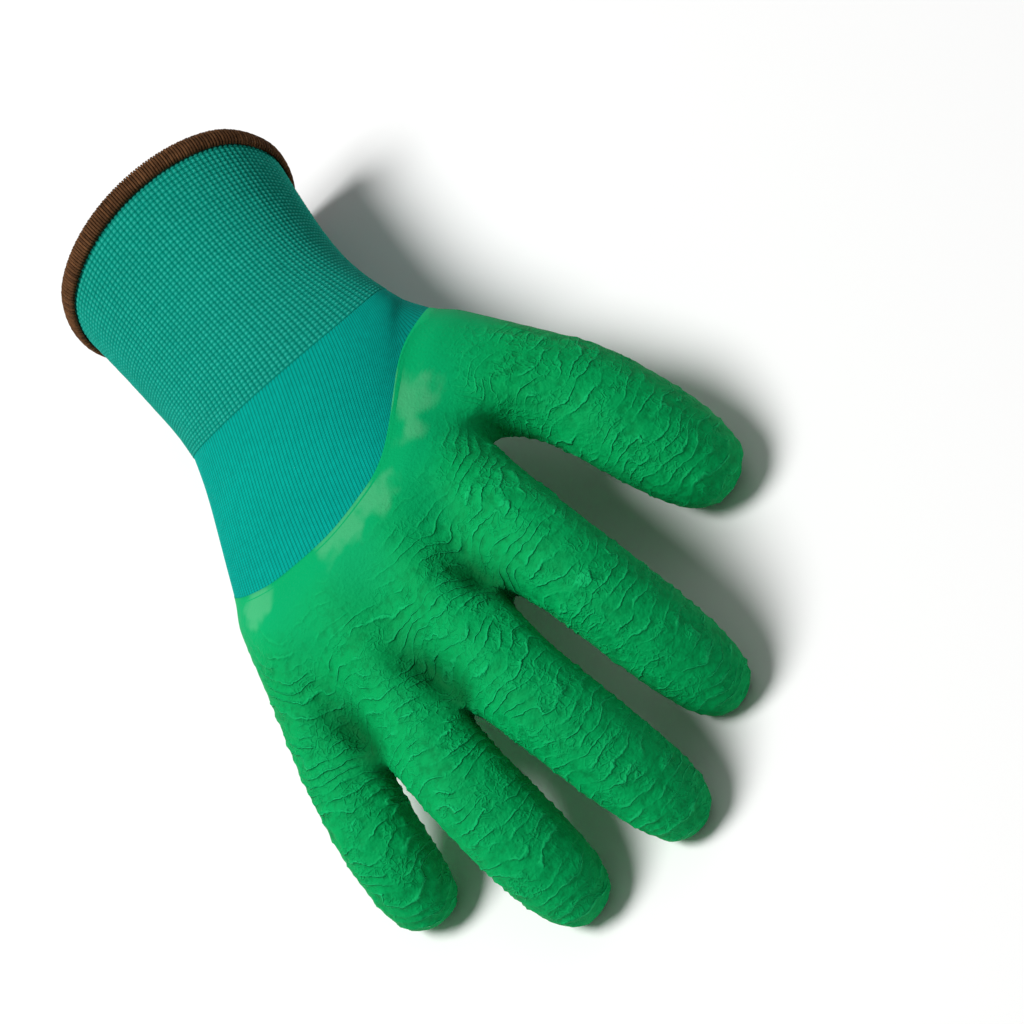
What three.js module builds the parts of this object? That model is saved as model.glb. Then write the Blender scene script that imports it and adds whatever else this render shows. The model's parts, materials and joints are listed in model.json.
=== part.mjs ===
// A latex dipped knitted work glove for the right hand, filled out as if worn and lying palm down.
// Millimetres. +X runs from the thumb side to the little finger, +Y from the cuff to the fingertips and
// +Z up from the palm to the back. The origin is under the middle of the glove, on the surface below it.
import * as THREE from 'three';

const { degToRad, lerp } = THREE.MathUtils;

// The cuff
const CUFF_LENGTH = 71;
const CUFF_WIDTH = 75;
const CUFF_THICKNESS = 56;
const CUFF_WALL = 1.6;
const MOUTH_SKEW = 3; // how far the little finger's side of the mouth lies beyond its middle
const WRIST_REACH = 19; // how much further up the hand the cuff's knit runs on the back
const CUFF_BEND = 14; // degrees by which the cuff turns to the little finger's side, away from the hand

// The overlocked edge that wraps the mouth of the cuff
const HEM_DEPTH = 4;
const HEM_WALL = 1.6;

// The hand
const WRIST_WIDTH = 69;
const WRIST_THICKNESS = 44;
const PALM_LENGTH = 98;
const PALM_THICKNESS = 38;
const PALM_TILT = 6; // degrees by which the thumb side of the palm is raised
const KNUCKLE_RISE = 1.6; // how far a knuckle stands over the valleys beside it
const VALLEY_DEPTH = 5; // how far the valleys fall halfway from the knuckles to the webs
const BARE_LENGTH = 48; // bare knit on the back, from the wrist to the edge of the coating
const KNIT_WALL = 1.0;
const COATING_WALL = 1.1;
const GAP = 0.3; // clearance between one layer and the next

// The fingers and the thumb
const FINGER_LENGTH = 73; // of the middle finger, from its root to its tip
const FINGER_WIDTH = 24; // of the middle finger
const FINGER_SPACE = 0.3; // between two neighbouring fingers at their roots
const THUMB_LENGTH = 75;
const THUMB_WIDTH = 29.5;
const THICKNESS_SHARE = 0.88; // of a digit's width
const WEB_TOP = 0.2; // height of a web over its middle, as a share of a finger's half thickness
const WEB_UNDERSIDE = -0.6; // the same on the palm

// The four fingers: length and width as shares of the middle finger's, root along the palm and root height
// as shares of the palm's length and thickness, and heading towards the little finger in degrees.
const FINGERS = [
  { length: 1.01, width: 1, along: 0.95, rise: 0, heading: -17.5 },
  { length: 1, width: 1, along: 1.16, rise: 0.05, heading: -17.5 },
  { length: 0.885, width: 1, along: 1.22, rise: 0, heading: -9 },
  { length: 0.665, width: 0.917, along: 1.09, rise: -0.12, heading: 8 },
].map((row) => ({ ...row, length: row.length * FINGER_LENGTH, width: row.width * FINGER_WIDTH }));

// The webs between the fingers: how far each lies beyond the roots beside it, as a share of the palm.
const WEBS = [{ ahead: -0.03 }, { ahead: 0.035 }, { ahead: 0.01 }];

// The thumb: as a finger, with its root across the palm as a share of the palm's width, and the turn of
// its back towards the thumb side in degrees.
const THUMB = {
  length: THUMB_LENGTH,
  width: THUMB_WIDTH,
  across: -0.49,
  along: 0.34,
  rise: -0.24,
  heading: -25,
  turn: -25,
};

// Sections of the cuff from its mouth to the wrist: share of its length, how far its width and thickness
// have gone from those of the mouth to those of the wrist, the share of its width by which it lies to the
// thumb's side, and the pitch of the arm in degrees.
const CUFF_SECTIONS = [
  { along: 0, narrowing: 0, aside: 0, pitch: 3 },
  { along: 0.33, narrowing: 0.8, aside: -0.03, pitch: 4 },
  { along: 0.67, narrowing: 1.3, aside: -0.03, pitch: 5 },
  { along: 1, narrowing: 1, aside: 0.04, pitch: 6 },
];

// Sections of the hand beyond the wrist: shares of the palm's length, width and thickness, the share of
// its width by which it lies to the thumb's side, the share of its tilt that it has reached, and its pitch.
const PALM_SECTIONS = [
  { along: 0.12, width: 0.84, thickness: 1.16, aside: 0.075, tilt: 0.2, pitch: 6 },
  { along: 0.3, width: 0.86, thickness: 1.14, aside: 0.05, tilt: 0.4, pitch: 5 },
  { along: 0.6, width: 0.85, thickness: 1.05, aside: -0.02, tilt: 0.8, pitch: 2 },
  { along: 0.85, width: 0.93, thickness: 0.95, aside: 0, tilt: 1, pitch: 0 },
  { along: 1.1, width: 0.96, thickness: 0.8, aside: 0, tilt: 1, pitch: -4 },
];

// The knuckles: their place along the palm, at an angle round the hand as in the next table.
const KNUCKLE_LINE = [
  { angle: -180, along: 0.57 },
  { angle: -150, along: 0.58 },
  { angle: -120, along: 0.76 },
  { angle: -60, along: 0.84 },
  { angle: 0, along: 0.76 },
  { angle: 60, along: 0.86 },
  { angle: 120, along: 0.8 },
  { angle: 150, along: 0.62 },
  { angle: 180, along: 0.57 },
];

// The edge of the coating: share of the bare length left bare at an angle round the hand, where 0 is the
// little finger's side, 90 the back and 180 the thumb's side.
const DIP_LINE = [
  { angle: -180, bare: 0.06 },
  { angle: -60, bare: 0.15 },
  { angle: 0, bare: 0.96 },
  { angle: 30, bare: 1 },
  { angle: 60, bare: 1.1 },
  { angle: 90, bare: 1.12 },
  { angle: 120, bare: 1 },
  { angle: 135, bare: 0.6 },
  { angle: 150, bare: 0.17 },
  { angle: 180, bare: 0.06 },
];

// Rings of a finger and of the thumb: shares of the digit's length and width.
const FINGER_RINGS = [
  { along: 0.22, width: 0.98 },
  { along: 0.5, width: 1 },
  { along: 0.78, width: 0.95 },
  { along: 0.95, width: 0.72 },
];
const THUMB_RINGS = [
  { along: 0.32, width: 1 },
  { along: 0.55, width: 1 },
  { along: 0.78, width: 0.97 },
  { along: 0.95, width: 0.72 },
];
const TIP_REACH = 1.035; // share of the length at which the last point of a digit's cage lies

// Where a digit bends: share of its length, and of its whole curl.
const BENDS = [
  { along: 0, curl: 0.2 },
  { along: 0.34, curl: 0.45 },
  { along: 0.68, curl: 0.35 },
];
const MOST_CURL = 150; // degrees
const PAD = { along: 0.87, width: 0.9 }; // of a digit's length and thickness, at the middle of its pad
const PAD_PRESS = 2.4; // how far a pad is pressed flat by the surface it rests on

// The cage has two columns of faces for each finger on the back, as many on the palm, and two on each side.
const BACK_COLUMNS = 2 * FINGERS.length;
const COLUMNS = 2 * BACK_COLUMNS + 4;
const LITTLE_SIDE = BACK_COLUMNS + 1;
const THUMB_SIDE = COLUMNS - 1;
const SIDE_ANGLE = 30; // degrees round the hand from its side to the nearest column on the back
const RING_ANGLES = [135, 90, 45, 0, -45, -90, -135, 180];

// The rows of the cage, from the mouth of the cuff to the webs between the fingers.
const CUFF_ROWS = 3;
const BARE_ROWS = 2;
const COATED_ROWS = 2;
const WRIST = CUFF_ROWS;
const DIP = WRIST + BARE_ROWS;
const KNUCKLES = DIP + COATED_ROWS;

// One subdivision draws a ring of the cage inwards to this share of its size.
const drawnIn = (sides) => (6 + 2 * Math.cos((2 * Math.PI) / sides)) / 8;
const RING_DRAW = drawnIn(RING_ANGLES.length);
const HAND_DRAW = drawnIn(COLUMNS);

// Finger roots lie side by side across the palm, which is as wide as all of them.
const PALM_WIDTH = FINGERS.reduce((sum, finger) => sum + finger.width + FINGER_SPACE, -FINGER_SPACE);

function rootAcross(index) {
  const before = FINGERS.slice(0, index).reduce((sum, finger) => sum + finger.width + FINGER_SPACE, 0);
  return before + FINGERS[index].width / 2 - PALM_WIDTH / 2;
}

// A value read from a table whose rows are in order, between the two rows around a place
function between(rows, key, place, read) {
  let next = 1;
  while (next < rows.length - 1 && rows[next][key] < place) next++;
  const [from, to] = [rows[next - 1], rows[next]];
  const share = (place - from[key]) / (to[key] - from[key]);
  return read(from, to, share);
}

// The direction that a heading towards the little finger and a pitch upwards give
function forwards(heading, pitch) {
  const level = Math.cos(pitch);
  return new THREE.Vector3(Math.sin(heading) * level, Math.cos(heading) * level, Math.sin(pitch));
}

// The sections of the arm and hand in order, each with its place in the plane that runs along the hand
function handSections() {
  const cuff = CUFF_SECTIONS.map((row) => ({
    along: row.along * CUFF_LENGTH,
    halfWidth: lerp(CUFF_WIDTH, WRIST_WIDTH, row.narrowing) / 2,
    halfThickness: lerp(CUFF_THICKNESS, WRIST_THICKNESS, row.narrowing) / 2,
    aside: row.aside * WRIST_WIDTH,
    tilt: 0,
    heading: (1 - row.along) * degToRad(-CUFF_BEND),
    pitch: degToRad(row.pitch),
  }));
  const palm = PALM_SECTIONS.map((row) => ({
    along: CUFF_LENGTH + row.along * PALM_LENGTH,
    halfWidth: (row.width * PALM_WIDTH) / 2,
    halfThickness: (row.thickness * PALM_THICKNESS) / 2,
    aside: row.aside * PALM_WIDTH,
    tilt: row.tilt * degToRad(PALM_TILT),
    heading: 0,
    pitch: degToRad(row.pitch),
  }));
  const sections = [...cuff, ...palm];
  sections[0].centre = new THREE.Vector3(0, 0, sections[0].halfThickness);
  for (let i = 1; i < sections.length; i++) {
    const [from, to] = [sections[i - 1], sections[i]];
    const forward = forwards((from.heading + to.heading) / 2, (from.pitch + to.pitch) / 2);
    to.centre = from.centre.clone().addScaledVector(forward, to.along - from.along);
  }
  return sections;
}

const SECTIONS = handSections();

// The frame and size of the hand at a distance along it from the mouth of the cuff
function handAt(along) {
  return between(SECTIONS, 'along', along, (from, to, share) => {
    const pitch = lerp(from.pitch, to.pitch, share);
    const heading = lerp(from.heading, to.heading, share);
    const forward = forwards(heading, pitch);
    const tilt = lerp(from.tilt, to.tilt, share);
    const across = forwards(heading + Math.PI / 2, 0).applyAxisAngle(forward, tilt);
    const aside = lerp(from.aside, to.aside, share);
    return {
      centre: from.centre.clone().lerp(to.centre, share).addScaledVector(across, -aside),
      across,
      up: across.clone().cross(forward),
      halfWidth: lerp(from.halfWidth, to.halfWidth, share),
      halfThickness: lerp(from.halfThickness, to.halfThickness, share),
      pitch,
    };
  });
}

// The column of the palm that lies under a column of the back
const underneath = (column) => COLUMNS - 2 - column;

// The angle round the hand at which a column of the cage lies, in degrees
function columnAngle(column) {
  if (column === LITTLE_SIDE) return 0;
  if (column === THUMB_SIDE) return 180;
  if (column > LITTLE_SIDE) return -columnAngle(underneath(column));
  return 180 - SIDE_ANGLE - ((180 - 2 * SIDE_ANGLE) * column) / BACK_COLUMNS;
}

function handPoint(along, column, lift = 0) {
  const hand = handAt(along);
  const angle = degToRad(columnAngle(column));
  return hand.centre
    .clone()
    .addScaledVector(hand.across, (hand.halfWidth * Math.cos(angle)) / HAND_DRAW)
    .addScaledVector(hand.up, (hand.halfThickness * Math.sin(angle)) / HAND_DRAW + lift);
}

// How far each row of a column lies along the hand
function rowPlaces(column) {
  const angle = columnAngle(column);
  const above = Math.sin(degToRad(angle));
  const mouth = -MOUTH_SKEW * Math.cos(degToRad(angle));
  const wrist = CUFF_LENGTH + WRIST_REACH * Math.max(0, above);
  const bare = between(DIP_LINE, 'angle', angle, (from, to, share) => lerp(from.bare, to.bare, share));
  const dip = wrist + bare * BARE_LENGTH;
  const place = between(KNUCKLE_LINE, 'angle', angle, (from, to, share) => lerp(from.along, to.along, share));
  const knuckles = CUFF_LENGTH + place * PALM_LENGTH;
  const spread = (from, to, count) => Array.from({ length: count }, (_, i) => lerp(from, to, i / count));
  return [
    ...spread(mouth, wrist, CUFF_ROWS),
    ...spread(wrist, dip, BARE_ROWS),
    ...spread(dip, knuckles, COATED_ROWS),
    knuckles,
  ];
}

// Where a digit is and how it is turned at a share of its length
function digitAt(digit, root, curl, share) {
  const heading = degToRad(digit.heading);
  const centre = root.centre.clone();
  let pitch = root.pitch;
  let forward;
  for (let i = 0; i < BENDS.length && BENDS[i].along <= share; i++) {
    const end = Math.min(share, BENDS[i + 1]?.along ?? share);
    pitch -= BENDS[i].curl * curl;
    forward = forwards(heading, pitch);
    centre.addScaledVector(forward, (end - BENDS[i].along) * digit.length);
  }
  const across = forwards(heading + Math.PI / 2, 0).applyAxisAngle(forward, degToRad(digit.turn ?? 0));
  return { centre, across, up: across.clone().cross(forward) };
}

// The curl that brings a digit's pad down onto the surface
function restingCurl(digit, root) {
  const restingHeight = (PAD.width * digit.width * THICKNESS_SHARE) / 2 - PAD_PRESS;
  let [low, high] = [0, degToRad(MOST_CURL)];
  while (high - low > 1e-4) {
    const curl = (low + high) / 2;
    if (digitAt(digit, root, curl, PAD.along).centre.z > restingHeight) low = curl;
    else high = curl;
  }
  return low;
}

// A digit ready to build: a function that gives its frame at a share of its length
function placedDigit(digit, across) {
  const hand = handAt(CUFF_LENGTH + digit.along * PALM_LENGTH);
  const centre = hand.centre
    .clone()
    .addScaledVector(hand.across, across)
    .addScaledVector(hand.up, digit.rise * PALM_THICKNESS);
  const root = { centre, pitch: hand.pitch };
  const curl = restingCurl(digit, root);
  return { ...digit, at: (share) => digitAt(digit, root, curl, share) };
}

// A mesh of four-sided faces, each in a zone of the glove
class Cage {
  points = [];
  faces = [];

  point(position) {
    return this.points.push(position) - 1;
  }

  face(corners, zone) {
    this.faces.push({ corners, zone });
  }

  // Joins two loops of equally many points
  band(near, far, zone, isOpen = () => false) {
    near.forEach((corner, i) => {
      const next = (i + 1) % near.length;
      if (!isOpen(i)) this.face([corner, near[next], far[next], far[i]], zone);
    });
  }

  // Grows a digit out of a root loop of eight points
  digit(root, digit, rings) {
    let near = root;
    for (const ring of rings) {
      const { centre, across, up } = digit.at(ring.along);
      const radius = (ring.width * digit.width) / 2 / RING_DRAW;
      const far = RING_ANGLES.map((degrees) => {
        const angle = degToRad(degrees);
        return this.point(
          centre
            .clone()
            .addScaledVector(across, radius * Math.cos(angle))
            .addScaledVector(up, radius * THICKNESS_SHARE * Math.sin(angle)),
        );
      });
      this.band(near, far, 'coated');
      near = far;
    }
    const tip = this.point(digit.at(TIP_REACH).centre);
    const [a, b, c, d, e, f, g, h] = near;
    for (const corners of [[a, b, tip, h], [b, c, d, tip], [tip, d, e, f], [h, tip, f, g]]) {
      this.face(corners, 'coated');
    }
  }
}

// The loop of the hand from which the fingers grow: points on the back and underside of each finger and
// in the webs between them, and the middle point of each web.
function webLoop(fingers) {
  const loop = new Array(COLUMNS);
  const roots = fingers.map((finger) => ({ ...finger.at(0), radius: finger.width / 2 / RING_DRAW }));
  const reach = (root, across, up) =>
    root.centre
      .clone()
      .addScaledVector(root.across, across * root.radius)
      .addScaledVector(root.up, up * root.radius * THICKNESS_SHARE);
  roots.forEach((root, k) => {
    loop[2 * k + 1] = reach(root, 0, 1);
    loop[underneath(2 * k + 1)] = reach(root, 0, -1);
  });
  const [first, last] = [roots[0], roots[roots.length - 1]];
  const corner = Math.SQRT1_2;
  loop[0] = reach(first, -corner, corner);
  loop[underneath(0)] = reach(first, -corner, -corner);
  loop[BACK_COLUMNS] = reach(last, corner, corner);
  loop[underneath(BACK_COLUMNS)] = reach(last, corner, -corner);
  loop[THUMB_SIDE] = reach(first, -1, 0);
  loop[LITTLE_SIDE] = reach(last, 1, 0);
  const middles = [];
  for (let k = 1; k < roots.length; k++) {
    const forward = roots[k].up.clone().cross(roots[k].across);
    const web = (up) =>
      reach(roots[k - 1], 1, up)
        .lerp(reach(roots[k], -1, up), 0.5)
        .addScaledVector(forward, WEBS[k - 1].ahead * PALM_LENGTH);
    loop[2 * k] = web(WEB_TOP);
    loop[underneath(2 * k)] = web(WEB_UNDERSIDE);
    middles.push(web(0));
  }
  return { loop, middles };
}

function gloveCage() {
  const cage = new Cage();
  const places = Array.from({ length: COLUMNS }, (_, column) => rowPlaces(column));
  const thumbRow = KNUCKLES - 1;
  const isInsideThumb = (row, column) => row === thumbRow && column === THUMB_SIDE;
  const lift = (row, column) => {
    if (row !== KNUCKLES || column > BACK_COLUMNS) return 0;
    return column % 2 ? KNUCKLE_RISE / 2 : -KNUCKLE_RISE / 2;
  };
  const loops = Array.from({ length: KNUCKLES + 1 }, (_, row) =>
    places.map((place, column) =>
      isInsideThumb(row, column) ? undefined : cage.point(handPoint(place[row], column, lift(row, column))),
    ),
  );
  const fingers = FINGERS.map((finger, k) => placedDigit(finger, rootAcross(k)));
  const web = webLoop(fingers);
  const { up } = handAt(CUFF_LENGTH + PALM_LENGTH);
  const valleys = loops[KNUCKLES].map((corner, column) => {
    const isValley = column > 0 && column < BACK_COLUMNS && column % 2 === 0;
    const halfway = cage.points[corner].clone().lerp(web.loop[column], 0.5);
    return cage.point(halfway.addScaledVector(up, isValley ? -VALLEY_DEPTH : 0));
  });
  const webs = web.loop.map((position) => cage.point(position));
  loops.push(valleys, webs);
  for (let row = 0; row + 1 < loops.length; row++) {
    const zone = row < WRIST ? 'cuff' : row < DIP ? 'bare' : 'coated';
    const isThumbHole = (column) => row >= DIP && row < KNUCKLES && column >= THUMB_SIDE - 1;
    cage.band(loops[row], loops[row + 1], zone, isThumbHole);
  }
  const webMiddles = web.middles.map((position) => cage.point(position));
  const middles = [webs[THUMB_SIDE], ...webMiddles, webs[LITTLE_SIDE]];
  fingers.forEach((finger, k) => {
    const back = [2 * k, 2 * k + 1, 2 * k + 2];
    const under = back.map(underneath).reverse();
    const root = [
      ...back.map((column) => webs[column]),
      middles[k + 1],
      ...under.map((column) => webs[column]),
      middles[k],
    ];
    cage.digit(root, finger, FINGER_RINGS);
  });
  const thumb = placedDigit(THUMB, THUMB.across * PALM_WIDTH);
  const [near, middle, far] = [loops[DIP], loops[thumbRow], loops[KNUCKLES]];
  const palm = THUMB_SIDE - 1;
  const thumbRoot = [
    near[0],
    middle[0],
    far[0],
    far[THUMB_SIDE],
    far[palm],
    middle[palm],
    near[palm],
    near[THUMB_SIDE],
  ];
  cage.digit(thumbRoot, thumb, THUMB_RINGS);
  return cage;
}

function average(points) {
  return points.reduce((sum, point) => sum.add(point), new THREE.Vector3()).divideScalar(points.length);
}

// The edges of a mesh: their two ends, and the faces beside them
function edgesOf(faces) {
  const edges = new Map();
  faces.forEach(({ corners }, f) => {
    corners.forEach((a, i) => {
      const b = corners[(i + 1) % corners.length];
      const key = edgeKey(a, b);
      if (!edges.has(key)) edges.set(key, { ends: [a, b], faces: [] });
      edges.get(key).faces.push(f);
    });
  });
  return edges;
}

const edgeKey = (a, b) => (a < b ? `${a} ${b}` : `${b} ${a}`);

// One Catmull-Clark subdivision
function subdivided({ points, faces }) {
  const fine = new Cage();
  const edges = edgesOf(faces);
  const around = points.map(() => ({ edges: [], faces: [] }));
  const centres = faces.map(({ corners }) => average(corners.map((corner) => points[corner])));
  faces.forEach(({ corners }, f) => corners.forEach((corner) => around[corner].faces.push(centres[f])));
  for (const edge of edges.values()) {
    edge.middle = average(edge.ends.map((end) => points[end]));
    edge.ends.forEach((end) => around[end].edges.push(edge));
  }
  const corners = points.map((point, i) => {
    const rim = around[i].edges.filter((edge) => edge.faces.length === 1);
    if (rim.length) return fine.point(average([point, average(rim.map((edge) => edge.middle))]));
    const count = around[i].edges.length;
    return fine.point(
      average(around[i].faces)
        .addScaledVector(average(around[i].edges.map((edge) => edge.middle)), 2)
        .addScaledVector(point, count - 3)
        .divideScalar(count),
    );
  });
  for (const edge of edges.values()) {
    const isRim = edge.faces.length === 1;
    const sides = average(edge.faces.map((f) => centres[f]));
    edge.point = fine.point(isRim ? edge.middle : average([edge.middle, sides]));
  }
  faces.forEach((face, f) => {
    const centre = fine.point(centres[f]);
    const count = face.corners.length;
    const edgePoint = (i) => edges.get(edgeKey(face.corners[i], face.corners[(i + 1) % count])).point;
    face.corners.forEach((corner, i) => {
      fine.face([corners[corner], edgePoint(i), centre, edgePoint((i + count - 1) % count)], face.zone);
    });
  });
  return fine;
}

// Presses points that lie below the surface flat against it
function settle(points) {
  for (const point of points) point.z = Math.max(0, point.z);
  return points;
}

function normalsOf({ points, faces }) {
  const normals = points.map(() => new THREE.Vector3());
  const [first, second] = [new THREE.Vector3(), new THREE.Vector3()];
  for (const { corners } of faces) {
    const [a, b, c, d] = corners.map((corner) => points[corner]);
    const normal = first.subVectors(c, a).cross(second.subVectors(d, b)).clone();
    corners.forEach((corner) => normals[corner].add(normal));
  }
  return normals.map((normal) => normal.normalize());
}

const GLOVE = subdivided(gloveCage());
settle(GLOVE.points);
const NORMALS = normalsOf(GLOVE);

// The depths of the faces of each layer below the outside of the coating
const KNIT_DEPTH = COATING_WALL + GAP;

function geometryOf(triangles) {
  const geometry = new THREE.BufferGeometry();
  const positions = triangles.flat().flatMap((point) => point.toArray());
  geometry.setAttribute('position', new THREE.Float32BufferAttribute(positions, 3));
  geometry.computeVertexNormals();
  return geometry;
}

const quad = (a, b, c, d) => [[a, b, c], [a, c, d]];

// A closed wall that follows some zones of the glove between two depths, drawn back by half the clearance
// where it ends
function wallOver(zones, outside, inside) {
  const faces = GLOVE.faces.filter((face) => zones.includes(face.zone));
  const rim = [...edgesOf(faces).values()].filter((edge) => edge.faces.length === 1);
  const rimPoints = new Set(rim.flatMap((edge) => edge.ends));
  const trim = new Map();
  for (const { ends } of edgesOf(faces).values()) {
    const onRim = ends.map((end) => rimPoints.has(end));
    if (onRim[0] === onRim[1]) continue;
    const [edge, inner] = onRim[0] ? ends : [ends[1], ends[0]];
    const back = GLOVE.points[inner].clone().sub(GLOVE.points[edge]).setLength(GAP / 2);
    trim.set(edge, back);
  }
  const layer = (depth) => (i) => {
    const point = GLOVE.points[i].clone().addScaledVector(NORMALS[i], -depth);
    return trim.has(i) ? point.add(trim.get(i)) : point;
  };
  const [outer, inner] = [layer(outside), layer(inside)];
  const triangles = [];
  for (const { corners } of faces) {
    const [a, b, c, d] = corners.map(inner);
    triangles.push(...quad(...corners.map(outer)), ...quad(a, d, c, b));
  }
  for (const { ends, faces: [f] } of rim) {
    const { corners } = faces[f];
    const isForward = corners[(corners.indexOf(ends[0]) + 1) % corners.length] === ends[1];
    const [a, b] = isForward ? ends : [ends[1], ends[0]];
    triangles.push(...quad(outer(b), outer(a), inner(a), inner(b)));
  }
  return geometryOf(triangles);
}

// The points round the mouth of the cuff in order, each with its neighbour further up the cuff
function mouthPoints() {
  const edges = edgesOf(GLOVE.faces);
  const next = new Map();
  for (const { ends, faces: [f, other] } of edges.values()) {
    if (other !== undefined) continue;
    const { corners } = GLOVE.faces[f];
    const at = corners.indexOf(ends[0]);
    const isForward = corners[(at + 1) % corners.length] === ends[1];
    const [a, b] = isForward ? ends : [ends[1], ends[0]];
    next.set(a, { b, beside: corners[(corners.indexOf(a) + 3) % corners.length] });
  }
  const [start] = next.keys();
  const mouth = [];
  let here = start;
  do {
    const { b, beside } = next.get(here);
    mouth.push({ point: here, beside });
    here = b;
  } while (here !== start);
  return mouth;
}

// The overlocked edge: a channel round the mouth that holds the cuff's edge with clearance all round
function hemGeometry() {
  const [outer, inner] = [-KNIT_DEPTH + GAP, -KNIT_DEPTH - CUFF_WALL - GAP];
  const end = GAP / 2;
  const bevel = HEM_WALL / 2;
  // Each row is how far beyond the cuff's edge and how high over the outside of the glove
  const section = [
    [-HEM_DEPTH, outer],
    [-HEM_DEPTH, outer + HEM_WALL],
    [end + HEM_WALL - bevel, outer + HEM_WALL],
    [end + HEM_WALL, outer + HEM_WALL - bevel],
    [end + HEM_WALL, inner - HEM_WALL + bevel],
    [end + HEM_WALL - bevel, inner - HEM_WALL],
    [-HEM_DEPTH, inner - HEM_WALL],
    [-HEM_DEPTH, inner],
    [end, inner],
    [end, outer],
  ];
  const rings = mouthPoints().map(({ point, beside }) => {
    const outwards = GLOVE.points[point].clone().sub(GLOVE.points[beside]).normalize();
    return settle(
      section.map(([along, over]) =>
        GLOVE.points[point].clone().addScaledVector(outwards, along).addScaledVector(NORMALS[point], over),
      ),
    );
  });
  const triangles = rings.flatMap((ring, i) => {
    const nextRing = rings[(i + 1) % rings.length];
    return ring.flatMap((corner, j) => {
      const k = (j + 1) % ring.length;
      return quad(corner, ring[k], nextRing[k], nextRing[j]);
    });
  });
  return geometryOf(triangles);
}

function piece(name, geometry, color, roughness) {
  const mesh = new THREE.Mesh(geometry, new THREE.MeshStandardMaterial({ color, roughness, metalness: 0 }));
  mesh.name = name;
  return mesh;
}

const glove = new THREE.Group();
glove.add(
  piece('cuff_hem', hemGeometry(), 0x64432a, 0.9),
  piece('knit_cuff', wallOver(['cuff'], KNIT_DEPTH, KNIT_DEPTH + CUFF_WALL), 0x1c9081, 0.85),
  piece('knit_liner', wallOver(['bare', 'coated'], KNIT_DEPTH, KNIT_DEPTH + KNIT_WALL), 0x048e7b, 0.85),
  piece('latex_coating', wallOver(['coated'], 0, COATING_WALL), 0x05a06a, 0.55),
);

// The whole glove is moved so that it stands on the surface with its middle over the origin
const box = new THREE.Box3().setFromObject(glove);
const middle = box.getCenter(new THREE.Vector3());
glove.position.set(-middle.x, -middle.y, -box.min.z);

export default glove;
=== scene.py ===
"""Looks of a latex coated grip glove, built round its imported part."""

import json
import logging
import math
from dataclasses import dataclass, field
from enum import Enum

import bmesh
import bpy
import numpy as np
from mathutils import Matrix, Vector, noise

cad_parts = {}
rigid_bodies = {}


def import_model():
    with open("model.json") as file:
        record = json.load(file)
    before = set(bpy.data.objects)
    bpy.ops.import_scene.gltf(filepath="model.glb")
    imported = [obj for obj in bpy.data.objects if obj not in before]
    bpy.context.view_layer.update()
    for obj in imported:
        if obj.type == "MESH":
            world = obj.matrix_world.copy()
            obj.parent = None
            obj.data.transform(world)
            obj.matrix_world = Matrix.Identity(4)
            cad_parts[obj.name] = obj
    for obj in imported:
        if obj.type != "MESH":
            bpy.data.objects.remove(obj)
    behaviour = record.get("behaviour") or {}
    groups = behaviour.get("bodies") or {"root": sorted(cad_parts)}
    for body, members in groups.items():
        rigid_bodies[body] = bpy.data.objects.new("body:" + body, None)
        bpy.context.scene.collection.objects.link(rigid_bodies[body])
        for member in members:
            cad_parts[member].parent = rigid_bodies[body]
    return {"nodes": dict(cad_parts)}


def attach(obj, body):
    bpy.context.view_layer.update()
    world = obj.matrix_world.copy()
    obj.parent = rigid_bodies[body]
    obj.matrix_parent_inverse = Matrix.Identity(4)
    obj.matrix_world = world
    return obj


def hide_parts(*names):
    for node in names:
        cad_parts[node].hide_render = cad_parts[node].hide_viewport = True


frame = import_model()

log = logging.getLogger("glove")

Colour = tuple[float, float, float, float]

BODY = "root"
MM = 0.001
SHARP_FOLD = math.radians(60)
MERGE_DISTANCE = 1e-5

# The lowest place on each axis, and the height up to which a piece is let down on to the floor
FLOOR = (-math.inf, -math.inf, 0.0)
SETTLE_REACH = 12 * MM

# Factors that scatter the numbers of ribs and courses into uneven heights
SCATTER = (12.9898, 78.233, 43758.5453)

# How many points of an open edge are measured against at a time
RIM_BATCH = 40


# Small helpers


def select_nothing() -> None:
    """Leaves edit mode, with no object selected."""
    if bpy.context.object and bpy.context.object.mode != "OBJECT":
        bpy.ops.object.mode_set(mode="OBJECT")
    bpy.ops.object.select_all(action="DESELECT")


def activate(obj: bpy.types.Object) -> None:
    """Makes an object the only selected one, and the active one.

    Args:
        obj: The object that the next operators work on.
    """
    select_nothing()
    obj.select_set(True)
    bpy.context.view_layer.objects.active = obj


def edit_all(obj: bpy.types.Object) -> None:
    """Opens an object in edit mode with all of it selected.

    Args:
        obj: The object to edit.
    """
    activate(obj)
    bpy.ops.object.mode_set(mode="EDIT")
    bpy.ops.mesh.select_mode(type="VERT")
    bpy.ops.mesh.select_all(action="SELECT")


def points_of(obj: bpy.types.Object) -> np.ndarray:
    """Reads the points of a mesh.

    Args:
        obj: A mesh object.

    Returns:
        One row of three numbers a point, in metres.
    """
    flat = np.empty(len(obj.data.vertices) * 3, np.float32)
    obj.data.vertices.foreach_get("co", flat)
    return flat.reshape(-1, 3).astype(float)


def move_points(obj: bpy.types.Object, points: np.ndarray) -> None:
    """Moves the points of a mesh.

    Args:
        obj: A mesh object.
        points: One row of three numbers a point, in metres.
    """
    obj.data.vertices.foreach_set("co", points.astype(np.float32).ravel())
    obj.data.update()


def normals_of(obj: bpy.types.Object) -> np.ndarray:
    """Reads the directions in which the points of a mesh face.

    Args:
        obj: A mesh object.

    Returns:
        One unit row a point.
    """
    flat = np.empty(len(obj.data.vertices) * 3, np.float32)
    obj.data.vertex_normals.foreach_get("vector", flat)
    return flat.reshape(-1, 3).astype(float)


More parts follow.
